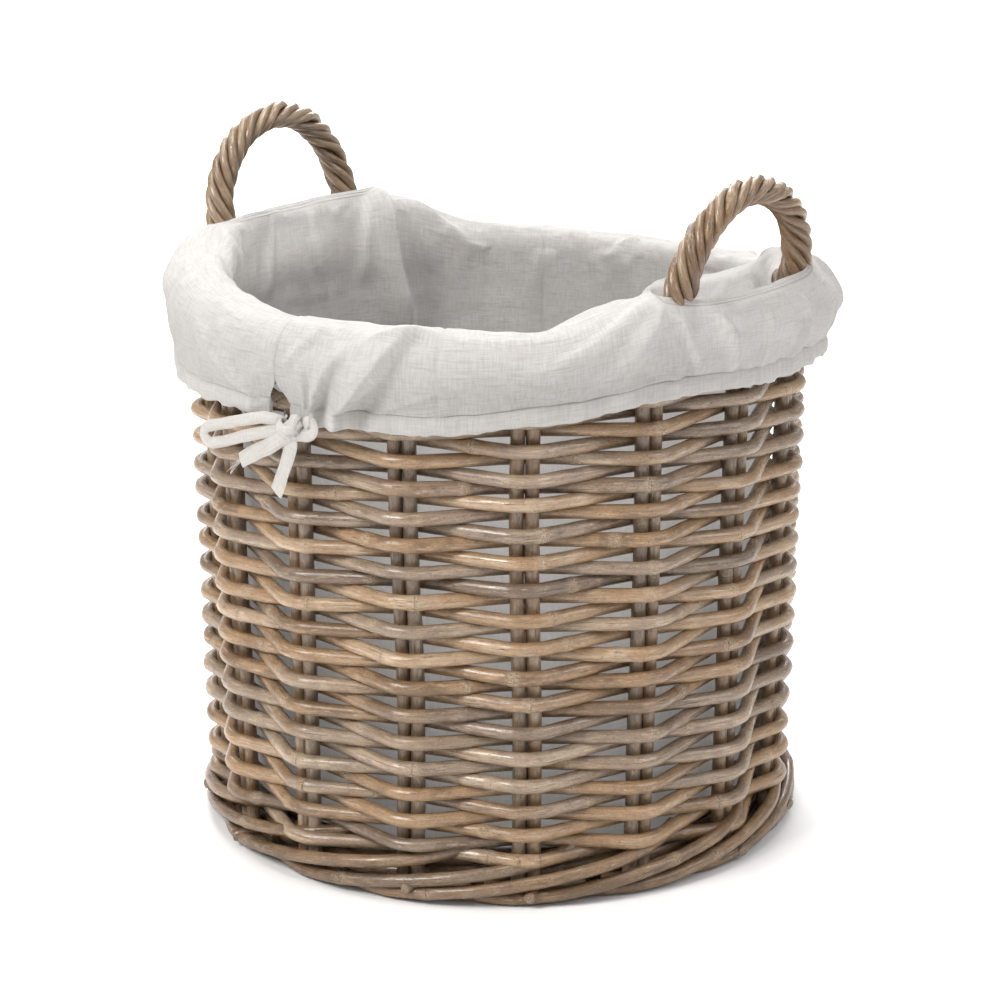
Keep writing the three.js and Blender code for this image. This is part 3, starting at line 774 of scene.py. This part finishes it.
def make_handles():
    steps = 170
    for name, turn, *shape in (("right", 1, 19 * MM, 0.4, 0.89), ("left", -1, 26 * MM, 1, 1.04)):
        middle = rope_line(steps, *shape)
        ahead = unit(np.gradient(middle, axis=0))
        out = squared((1.0, 0, 0), ahead)
        across = np.cross(ahead, out)
        turns = STRAND_TURNS * np.linspace(-0.06, 1.06, steps)
        # The rope is a little thicker in its legs than over the top.
        stout = 1 - 0.1 * np.sin(math.pi * np.linspace(0, 1, steps)) ** 2
        for i in range(STRANDS):
            seed = 1000 + i + (20 if turn < 0 else 0)
            a = 2 * math.pi * (i / STRANDS - turns) + 0.2 * drift(turns, 0.4, seed)
            orbit = (STRAND_ORBIT * stout + 0.55 * drift(turns, 0.4, seed + 3)) * MM
            away = np.cos(a)[:, None] * out + np.sin(a)[:, None] * across
            line = middle + orbit[:, None] * away
            line, away = line * (turn, turn, 1), away * (turn, turn, 1)
            piece = Piece()
            grey = 0.35 if turn < 0 else -0.25
            thick = (STRAND_RADIUS + 0.22 * scatter(seed, 1)) * stout * MM
            add_cane(piece, line, thick, away, seed, 12,
                     0.35 * scatter(seed, 2) + (0.15 if turn < 0 else -0.05),
                     grey + 0.3 * scatter(seed, 4), 1.15)
            strand = f"handle_strand_{name}_{i + 1}"
            piece.make(f"rope_cane_{name}_{i + 1}", handle_cane, "basket", [strand])
        core = Piece()
        line = np.concatenate([middle[:1] - SLYPE, middle, middle[-1:] - SLYPE])
        thick = np.r_[1.3, 4.0 * stout, 1.3] * MM
        add_cane(core, line * (turn, turn, 1), thick, (1.0, 0, 0), 1090, 10)
        core.make(f"rope_core_{name}", handle_cane, "basket",
                  [f"handle_core_{name}"])


# ---- liner ----
PLACKET = 1.8  # angle of the cuff's opening
BOW_ANGLE = 4.0  # and of the bow, which hides its lower right edge
SLIT_HALF = 22.5  # degrees from a handle's middle to the end of its slit
OPENING_HALF = 8.5 * MM  # half the opening's width at its foot
CROWN = 5.0  # the place across the cloth where it goes over the rim
EDGE = 11.0  # the place of the hem's lower edge
HEM = 10.0  # the place of the stitching along the hem's top
CLOTH_THICK = 0.8 * MM
BAG_ROOM = 17.6 * MM  # from the middle of the wall in to the bag
HEM_DEEP = 14.5 * MM
HEM_HALF_THICK = 1.7
PLEATS = 0.85  # pleats along the hem, as radians of ripple in each degree


def from_handle(angle):
    """Degrees from the nearer handle."""
    return np.minimum(degrees_between(angle, 90), degrees_between(angle, -90))


def fold_lift(angle):
    """How far the handles hold up the fold of the cloth."""
    left, front = np.sin(angle * DEG) < 0, np.cos(angle * DEG) > 0
    slope = np.where(left & front, 66, 27)
    high = np.where(left, 33, 28)
    tent = 1 - smoothstep(0, 1, (from_handle(angle) - 19) / slope)
    return (high * tent + 2.5 * np.sin(3.3 * angle * DEG + 1) + 1.6 * drift(angle, 17, 5)) * MM


def hem_lift(angle):
    """How far the handles hold up the hem, and the bow's weight pulls it down."""
    return (19 * (1 - smoothstep(14, 62, from_handle(angle))) - 2.5 * bell(angle - PLACKET, 12)
            + 1.2 * drift(angle, 9, 6)) * MM


def puff(angle):
    """How far the cuff stands away from the rim."""
    bulge = 4 * bell(angle + 62, 28) + 3 * bell(angle - 112, 24)
    return (bulge + 2 * drift(angle, 23, 7)) * MM


def slit_opening(angle):
    """From 1 in the middle of a handle's slit to 0 at its ends and beyond."""
    return np.sqrt(np.clip(1 - np.abs(from_handle(angle) / SLIT_HALF) ** 5, 0, 1))


def between_legs(angle):
    """1 midway between a handle's legs, where the sides of the slit come closer."""
    return 1 - smoothstep(7, 16, from_handle(angle))


def slit_sag(angle, deep):
    """How far the edge of a slit hangs down, in metres, when its middle hangs that deep."""
    across = np.clip(from_handle(angle) / 20, 0, 1)
    return deep * slit_opening(angle) * np.cos(across * math.pi / 2)


def bag_profile(angle):
    """Radius and height of the cloth at places 0 to 5, from the floor to the rim's top."""
    lift, opening = fold_lift(angle), slit_opening(angle)
    inner = wall_rim - BAG_ROOM
    same = np.zeros_like(angle)
    return [
        (floor_high.x - 1 * MM + same, floor_high.z + 1 * MM + same),
        (inner - 2 * MM + same, RIM - 120 * MM + same),
        (inner - 0.5 * MM + same, RIM - 30 * MM + 0.4 * lift),
        (inner + 0.5 * MM + same, RIM - 6 * MM + 0.75 * lift),
        (inner + (5.5 - 4 * opening) * MM, RIM + 3 * MM + 0.93 * lift),
        (wall_rim + (1 - 15.5 * opening + 8 * between_legs(angle)) * MM,
         RIM + (5.5 + 6 * opening) * MM + lift - slit_sag(angle, 3 * MM)),
    ]


def cuff_profile(angle):
    """The same at places 5 to 11, from the rim's top out and down to the hem's edge."""
    lift, hem_up, out = fold_lift(angle), hem_lift(angle), puff(angle)
    opening = slit_opening(angle)
    hem_radius = hem_high.x - 2.5 * MM
    hem_top = hem_low.z + 13 * MM
    same = np.zeros_like(angle)
    waist = 0.5 * (RIM - 23 * MM + 0.6 * lift + hem_top + hem_up)
    return [
        (wall_rim + (1 + 19.5 * opening - 8 * between_legs(angle)) * MM,
         RIM + (5.5 - 5.5 * opening) * MM + lift - slit_sag(angle, 4 * MM)),
        (wall_rim + (15 + 8 * opening) * MM + 0.4 * out, RIM + (2 - 9 * opening) * MM + 0.93 * lift),
        (wall_rim + 25 * MM + 0.8 * out, RIM - (9 + 4 * opening) * MM + 0.85 * lift),
        (wall_rim + 29 * MM + out, RIM - 23 * MM + 0.7 * lift + 0.15 * hem_up),
        (wall_rim + 28 * MM + 0.6 * out, waist),
        (hem_radius + 0.5 * MM + same, hem_top + hem_up),
        (hem_radius + same, hem_top - 13 * MM + hem_up),
    ]


def along_profile(profile, place):
    """Radius and height at places along a profile, on a smooth line through its points."""
    cell = np.clip(np.floor(place).astype(int), 0, len(profile) - 2)
    t = place - cell
    column = np.arange(place.shape[-1])
    made = []
    for which in (0, 1):
        table = np.stack([point[which] for point in profile])
        table = np.concatenate([2 * table[:1] - table[1:2], table, 2 * table[-1:] - table[-2:-1]])
        a, b, c, d = (table[cell + k, column] for k in range(4))
        made.append(0.5 * (2 * b + (c - a) * t + (2 * a - 5 * b + 4 * c - d) * t ** 2
                           + (3 * b - a - 3 * c + d) * t ** 3))
    return made


# How far along the cloth each whole place is, in metres from the floor.
PLACE_RUN = np.array([0, 262, 352, 377, 390, 407, 421, 436, 452, 468, 484, 498]) * MM


# A crease runs between two spots, each an angle and a place across the cloth. Its ridge is
# that high and wide in millimetres, and steeper on one side by the lean.
CREASES = [
    # out of the knot, up and over the cuff
    ((12, 11.2), (26, 5.4), 13.0, 7.5, 0.95),
    ((9, 10.4), (15, 7.0), 6.5, 4.2, 0.7),
    ((14, 11.0), (21, 8.6), -6.0, 4.0, -0.6),
    ((10, 10.8), (12, 8.4), 5.0, 2.8, 0.5),
    ((7, 10.6), (8, 7.8), 3.5, 2.8, 0.4),
    ((-1, 10.6), (-11, 8.4), 4.2, 4, 0.5),
    ((-4, 10.2), (-22, 6.6), 3.6, 6, 0.6),
    ((5, 8.2), (9, 5.8), 3.4, 4, 0.5),
    ((19, 6.4), (31, 5.2), 4.0, 6, 0.6),
    ((16, 10.8), (36, 8.0), 2.6, 6, 0.6),
    # where the left handle pulls the cloth
    ((-64, 5.2), (-36, 7.8), 5.5, 8, 0.8),
    ((-66, 5.6), (-50, 9.0), 4.5, 7, -0.6),
    ((-62, 4.6), (-40, 3.0), 8.0, 9, 0.8),
    ((-63, 4.4), (-50, 1.9), 6.0, 8, -0.6),
    ((-112, 4.9), (-118, 1.2), 20.0, 9, -0.95),
    ((-117, 4.6), (-136, 2.6), 8.0, 7, -0.7),
    ((-116, 5.0), (-140, 4.4), 6.0, 6, 0.6),
    ((-108, 4.4), (-106, 1.8), 5.0, 7, 0.5),
    ((-92, 4.0), (-94, 1.9), 3.5, 8, 0.3),
    ((-78, 4.2), (-73, 1.9), 4.5, 7, 0.4),
    # where the right handle pulls it
    ((66, 5.4), (46, 7.6), 4.5, 8, 0.6),
    ((67, 6.0), (58, 9.2), 4.0, 7, -0.6),
    ((70, 6.6), (73, 9.6), 4.5, 5, 0.7),
    ((78, 6.4), (80, 10.2), 5.0, 4, -0.5),
    ((88, 7.0), (87, 10.4), 4.5, 3.6, 0.6),
    ((64, 4.6), (48, 3.0), 5.5, 8, 0.5),
    ((113, 5.4), (128, 8.4), 4.5, 8, 0.6),
    ((110, 6.4), (106, 9.4), 4.0, 6, -0.6),
    ((98, 6.4), (96, 10.2), 5.0, 4, 0.5),
    ((114, 4.8), (127, 2.0), 8.0, 8, 0.7),
    # across the back
    ((-172, 4.8), (-166, 2.4), 4.0, 7, 0.6),
    ((168, 4.8), (174, 1.9), 4.5, 9, -0.5),
    ((143, 5.0), (146, 1.8), 6.0, 6, 0.8),
    ((155, 5.0), (158, 2.2), -2.5, 5, 0.5),
    ((-150, 5.4), (-146, 9.0), 4.0, 8, 0.5),
    ((160, 5.4), (166, 9.2), 3.5, 8, 0.5),
]
SEAMS = ((30, 4.2, EDGE), (150, 0, EDGE), (-150, 0, EDGE))  # angle, and from place to place


def crease_height(angle, place):
    """The sum of all the creases, in metres, at each vertex of the cloth."""
    across = angle * DEG * wall_rim
    down = np.interp(place, np.arange(12), PLACE_RUN)
    height = np.zeros(np.broadcast_shapes(across.shape, down.shape))
    for (a0, p0), (a1, p1), high, wide, lean in CREASES:
        for turn in (-360, 0, 360):
            x0, x1 = ((a + turn) * DEG * wall_rim for a in (a0, a1))
            if max(x0, x1) < across.min() - 0.05 or min(x0, x1) > across.max() + 0.05:
                continue
            y0, y1 = np.interp((p0, p1), np.arange(12), PLACE_RUN)
            dx, dy = x1 - x0, y1 - y0
            length = math.hypot(dx, dy)
            t = ((across - x0) * dx + (down - y0) * dy) / length ** 2
            off = ((across - x0) * dy - (down - y0) * dx) / length
            off = off + 2.2 * MM * np.sin(3.1 * t + a0)
            width = wide * MM * (0.55 + 0.8 * np.clip(t, 0, 1))
            width = width * np.where(off * np.sign(lean) > 0, 1 + abs(lean), 1 - 0.6 * abs(lean))
            ends = smoothstep(-0.12, 0.2, t) * (1 - smoothstep(0.65, 1.2, t))
            height += high * MM * bell(off, width) * ends
    return height


def gather_height(angle, place):
    """Small pleats where the drawstring gathers the hem, and slack ripples above them."""
    tight = 0.35 + 0.65 * (1 - smoothstep(14, 40, from_handle(angle))) + 0.5 * bell(angle - 12, 9)
    down = smoothstep(7.6, 10.0, place)
    pleats = np.sin(angle * PLEATS + 2.2 * drift(angle, 4.5, 21)) * (0.6 + 0.4 * drift(angle, 7, 22))
    slack = drift2(angle / 7, place * 0.9, 23) + 0.5 * drift2(angle / 3, place * 1.7, 24)
    inside = 1 - smoothstep(4.4, 5.2, place)
    loose = 1.1 * (1 - inside) + 2.6 * inside * smoothstep(0.4, 2.2, place)
    return (2.3 * tight * down * pleats + loose * slack) * MM


def liner_points(profile, first, angle, place):
    """Where the cloth lies, for a grid of angles and places from the profile's first place."""
    radius, z = along_profile(profile, place - first)
    push = crease_height(angle, place) + gather_height(angle, place)
    slope_r = np.gradient(radius, axis=0)
    slope_z = np.gradient(z, axis=0)
    size = np.maximum(np.hypot(slope_r, slope_z), 1e-9)
    # A push is into the bag on its inside, and away from the basket on the cuff.
    normal_r, normal_z = -slope_z / size, slope_r / size
    over_rim = 1 - 0.5 * bell(place - CROWN, 0.8)
    push = push * smoothstep(0.0, 0.6, place) * over_rim
    for seam_angle, start, stop in SEAMS:
        off = degrees_between(angle, seam_angle) * DEG * wall_rim
        on = (place > start) & (place < stop)
        push = push - 1.1 * MM * bell(off, 1.5 * MM) * on
    push = np.maximum(push, np.where(place < CROWN - 0.5, -0.4, -3.0) * MM)
    # At the crown itself both sides push straight up, so that they meet.
    up = bell(place - CROWN, 0.5)
    normal_r, normal_z = normal_r * (1 - up), normal_z * (1 - up) + up
    return around(radius + push * normal_r, angle, z + push * normal_z)


def placket_opening(place):
    """Half the width of the opening at the bow, in metres, down the cuff."""
    return OPENING_HALF * smoothstep(8.75, 10.2, place)


def seam_marks(angle, place):
    """1 along stitching, which the cloth material darkens as painted shadow: beside the seams and the
    opening, and round the slits' hems.
    """
    marks = np.zeros_like(angle)
    for seam_angle, start, stop in SEAMS:
        off = degrees_between(angle, seam_angle) * DEG * wall_rim
        line = bell(off, 1.1 * MM) * (place > start) * (place < stop)
        marks = np.maximum(marks, line)
    off = degrees_between(angle, PLACKET) * DEG * wall_rim
    marks = np.maximum(marks, bell(off, 1.0 * MM) * (place > 5.6) * (place < 9.2))
    for inset in (0.28, 0.5):
        hem = bell(np.abs(place - CROWN) - inset, 0.045) * (from_handle(angle) < SLIT_HALF)
        marks = np.maximum(marks, hem)
    return marks


def make_liner():
    columns = 901
    # The first and last columns are the two sides of the opening at the bow.
    flat = PLACKET + np.linspace(0, 360, columns)
    bag_rows = np.concatenate([np.linspace(0, 0.96, 24), np.linspace(1, 3, 34)[:-1],
                               np.linspace(3, CROWN, 24)])
    cuff_rows = np.linspace(CROWN, HEM, 60)
    piece = Piece()
    for rows, profile_of, first in ((bag_rows, bag_profile, 0), (cuff_rows, cuff_profile, CROWN)):
        place = np.repeat(rows[:, None], columns, axis=1)
        side = np.where(flat - PLACKET < 180, 1, -1)
        near = bell(np.minimum(flat - PLACKET, 360 + PLACKET - flat), 9)
        angle = flat[None, :] + placket_opening(place) / wall_rim / DEG * side * near
        points = liner_points(profile_of(flat), first, angle, place)
        run = np.interp(place, np.arange(12), PLACE_RUN)
        grain = np.stack([angle * DEG * wall_rim, run, 0 * run], axis=-1)
        piece.add(points, grid_faces(len(rows), columns, False), grain,
                  knot_marks(seam_marks(angle, place)))
    cloth = piece.make("liner_cloth", cotton, "liner", ["liner_body"])
    weld_cloth(cloth)


def weld_cloth(cloth):
    """Joins the bag to the cuff outside the slits, and the two sides above the opening."""
    bm = bmesh.new()
    bm.from_mesh(cloth.data)
    bmesh.ops.remove_doubles(bm, verts=bm.verts, dist=0.05 * MM)
    bm.to_mesh(cloth.data)
    bm.free()
    cloth.data.polygons.foreach_set("use_smooth", [True] * len(cloth.data.polygons))


def make_hem():
    """The drawstring's channel: a soft flat tube along the cuff's lower edge."""
    columns, sides = 620, 14
    gap = OPENING_HALF / wall_rim / DEG
    angle = np.linspace(PLACKET + gap, PLACKET + 360 - gap, columns)
    hem_r, hem_z = cuff_profile(angle)[5]
    at_hem = np.full_like(angle, HEM)
    ripple = gather_height(angle, at_hem) + crease_height(angle, at_hem)
    deep = HEM_DEEP * (1 + 0.07 * drift(angle, 3, 61))
    puffed = (HEM_HALF_THICK + 0.5 * drift(angle, 2.6, 62) + 0.4 * np.sin(angle * PLEATS)) * MM
    a = 2 * math.pi * (np.arange(sides) + 0.5) / sides
    down = 0.5 - 0.5 * np.cos(a)
    out = np.sign(np.sin(a)) * np.abs(np.sin(a)) ** 0.8
    closing = 1 - 0.62 * bell(down, 0.16)
    radius = (hem_r + ripple - 1.1 * MM)[:, None] + out * closing * puffed[:, None]
    z = hem_z[:, None] + 0.6 * MM - down * deep[:, None]
    z = z + 0.35 * MM * np.sin(angle * 1.7 + 3 * drift(angle, 5, 63))[:, None] * down
    points = around(radius, angle[:, None], z)
    arc = (angle * DEG * wall_rim)[:, None] + 0 * radius
    grain = np.stack([arc, down * deep[:, None] + 0.7, 0 * radius], axis=-1)
    # A band near the hem's top that the cloth material darkens: painted shadow of the stitching's
    # groove, with a bump groove too.
    stitch_shadow_line = bell(down - 0.13, 0.05) + 0 * radius
    piece = Piece()
    piece.add(points, tube_faces(columns, sides), grain, knot_marks(stitch_shadow_line))
    hem = piece.make("hem_band", hem_cotton, "liner", ["hem_channel"])
    hem.data.flip_normals()


def make_liner_floor():
    rings, columns = 26, 180
    radius = np.linspace(0.004, floor_high.x, rings)[:, None]
    angle = np.linspace(0, 360, columns, endpoint=False)[None, :]
    x, y = radius * np.sin(angle * DEG), -radius * np.cos(angle * DEG)
    lumps = drift2(x / 0.05, y / 0.05, 71) + 0.5 * drift2(x / 0.021, y / 0.021, 72)
    z = floor_high.z - 0.6 * MM + 0.9 * MM * lumps * (1 - smoothstep(0.9, 1.0, radius / floor_high.x))
    points = np.stack([x, y, z], axis=-1)
    faces = grid_faces(rings, columns, True) + [tuple(range(columns))]
    piece = Piece()
    piece.add(points, faces, np.stack([x, y, 0 * x], axis=-1), np.zeros_like(points))
    disc = piece.make("liner_floor_cloth", cotton, "liner", ["liner_floor"])
    solid = disc.modifiers.new("thickness", "SOLIDIFY")
    solid.thickness = CLOTH_THICK
    solid.offset = 0


# ---- the bow ----
knot_low, knot_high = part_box("tie_knot")
knot_place = np.array((knot_low + knot_high) / 2)
BOW_SIDE = np.array((math.cos(BOW_ANGLE * DEG), math.sin(BOW_ANGLE * DEG), 0))
BOW_OUT = np.array((math.sin(BOW_ANGLE * DEG), -math.cos(BOW_ANGLE * DEG), 0))
TAPE_WIDTH = 12.0 * MM
BUNCHED = 0.62  # the share of its width that the tape has where it is bunched
TAPE_THICK = 0.9 * MM
KNOT_TAPE_THICK = 1.2 * MM
THREAD_RADIUS = 0.17 * MM
# Sideways, outwards and up from the knot, in millimetres: the same routes as the frame's.
LOOP_LEFT = [(-9.5, 0, 3), (-16, 2, 4.5), (-25, 2.5, 4.5), (-41, 1.5, 0.5), (-60, -1.5, -5),
             (-79, -6, -10.5), (-88, -9, -13), (-93.5, -10.5, -18), (-92.5, -10.5, -22.5),
             (-85, -8.5, -25), (-67, -4, -20), (-46, 1, -12.5), (-28, 3, -7), (-17, 3, -4),
             (-9.5, 2, -3)]
LOOP_RIGHT = [(9.5, 0, 3), (13, 1, 6), (16.5, 0.8, 6.5), (19, 0.5, 3.5), (18, 0.5, -1),
              (13.5, 1, -3.5), (9.5, 1, -3)]
TAIL_LEFT = [(-9.5, 3.2, -8.5), (-14, 3.8, -12), (-21, 2.6, -16), (-31, 0, -20.5),
             (-44, -3.4, -27), (-55, -7.2, -33)]
TAIL_DOWN = [(1, 2.6, -9.5), (0.5, 3.4, -14), (-3, 2, -21), (-8, -0.5, -29), (-14, -3.5, -38),
             (-20, -6.5, -47), (-23.5, -8, -52)]


def from_knot(points):
    """Points given sideways, outwards and up from the knot, as points in the frame."""
    points = np.asarray(points, float) * MM
    return knot_place + points[:, :1] * BOW_SIDE + points[:, 1:2] * BOW_OUT + points[:, 2:] * UP


def add_tape(piece, line, facing, width, thick, seed, cup):
    """Adds a flat tape along a line, with its face towards facing and its edges cupped."""
    ahead = unit(np.gradient(line, axis=0))
    face = squared(facing, ahead)
    edge = np.cross(ahead, face)
    run = run_of(line)
    width = np.broadcast_to(width, run.shape) * (1 + 0.05 * drift(run, 0.012, seed))
    across = np.array([-1, -0.94, -0.5, 0, 0.5, 0.94, 1, 0.94, 0.5, 0, -0.5, -0.94])
    above = np.array([0, 1, 1, 1, 1, 1, 0, -1, -1, -1, -1, -1]) * thick / 2
    bend = np.broadcast_to(cup, run.shape)[:, None] * across ** 2
    fold = 0.5 * MM * drift(run, 0.008, seed + 1)[:, None] * (1 - across ** 2)
    verts = (line[:, None] + (0.5 * width[:, None] * across)[..., None] * edge[:, None]
             + (above + bend + fold)[..., None] * face[:, None])
    shape = (len(line), len(across))
    grain = np.stack([np.broadcast_to(run[:, None], shape), 0.5 * width[:, None] * across,
                      np.full(shape, seed * 0.1)], axis=-1)
    selvedge = np.broadcast_to(0.5 * (np.abs(across) > 0.9), shape)
    piece.add(verts, tube_faces(*shape), grain, knot_marks(selvedge))


def round_off(piece):
    """One step of subdivision, because tape bends without corners."""
    soft = piece.modifiers.new("soft", "SUBSURF")
    soft.levels = soft.render_levels = 1


def make_tie(name, points, broad, seed, replaces):
    """One free end of the drawstring. broad says which points have the tape at full width."""
    line = spaced(softened(from_knot(points), 1.8 * MM, 0.5 * MM), 1.5 * MM)
    run = run_of(line)
    corners = run_of(from_knot(points))
    share = np.interp(run / run[-1], corners / corners[-1], broad)
    piece = Piece()
    add_tape(piece, line, BOW_OUT + (0, 0, 0.15), TAPE_WIDTH * (BUNCHED + (1 - BUNCHED) * share),
             TAPE_THICK, seed, -(0.2 + 1.3 * (1 - share)) * MM)
    tie = piece.make(name, tie_cotton, "liner", replaces)
    round_off(tie)


def make_bow():
    left = [(-13, -5.5, 3), (-8, -2.5, 2)] + LOOP_LEFT + [(-4, 3, -4), (-0.5, 3.5, -7)] + TAIL_DOWN
    full = [0.4, 0.2] + [0.25] * len(LOOP_LEFT) + [0.3, 0.6] + [1] * len(TAIL_DOWN)
    make_tie("bow_long_end", left, full, 1200, ["tie_loop_left", "tie_tail_down"])
    right = [(12, -5.5, 3), (8, -2, 3)] + LOOP_RIGHT + [(4, 3.4, -3.5), (-3, 3.8, -6)] + TAIL_LEFT
    full = [0.4, 0.3] + [0.5] * len(LOOP_RIGHT) + [0.4, 0.6] + [1] * len(TAIL_LEFT)
    make_tie("bow_short_end", right, full, 1210, ["tie_loop_right", "tie_tail_left"])
    make_knot()
    make_threads()


def make_knot():
    """The tape wrapped over itself, in turns that cross."""
    piece = Piece()
    # Each turn's middle, its half length and half depth, its tilt, and the tape's width.
    wraps = (((0, 0.5, 0), 10.5, 5.6, 38, 9.5), ((-3.6, 1.4, -1.5), 8.6, 5.0, -32, 8.5),
             ((3.4, 1, 1.6), 8.2, 4.6, 78, 8.0), ((0.5, 2, -0.5), 7.4, 5.0, 8, 7.0))
    for k, (middle, long, deep, tilt, width) in enumerate(wraps):
        a = np.linspace(0, 2 * math.pi, 40)
        side = long * np.cos(a) * math.cos(tilt * DEG)
        up = long * np.cos(a) * math.sin(tilt * DEG)
        out = deep * np.sin(a)
        line = from_knot(np.stack([side, out, up], axis=1) + middle)
        centre = from_knot([middle])[0]
        add_tape(piece, line, unit(line - centre), width * MM, KNOT_TAPE_THICK, 1230 + k,
                 -0.9 * MM)
    knot = piece.make("bow_knot", tie_cotton, "liner", ["tie_knot"])
    round_off(knot)


def make_threads():
    """Loose threads at the cut end of the left tail."""
    piece = Piece()
    start = np.array(TAIL_LEFT[-1], float)
    for k in range(6):
        reach = 7 + 5 * (1 + scatter(k, 90))
        bend = 3 * scatter(k, 91)
        t = np.linspace(0, 1, 8)[:, None]
        tip = np.array((-0.85 * reach, -0.5, -0.6 * reach))
        line = start + (0, 0, 0.6 * (k - 2.5)) + t * tip + t ** 2 * (0, 0.8 * scatter(k, 92), bend)
        add_cane(piece, from_knot(line), THREAD_RADIUS, (0, -1.0, 0), 1300 + k, 5)
    piece.make("bow_loose_threads", tie_cotton, "liner")


make_camera()
make_bow()
make_studio()
make_stakes()
make_weavers()
make_foot()
make_rim()
make_base_sticks()
make_base_weave()
make_handles()
make_liner()
make_liner_floor()
make_hem()
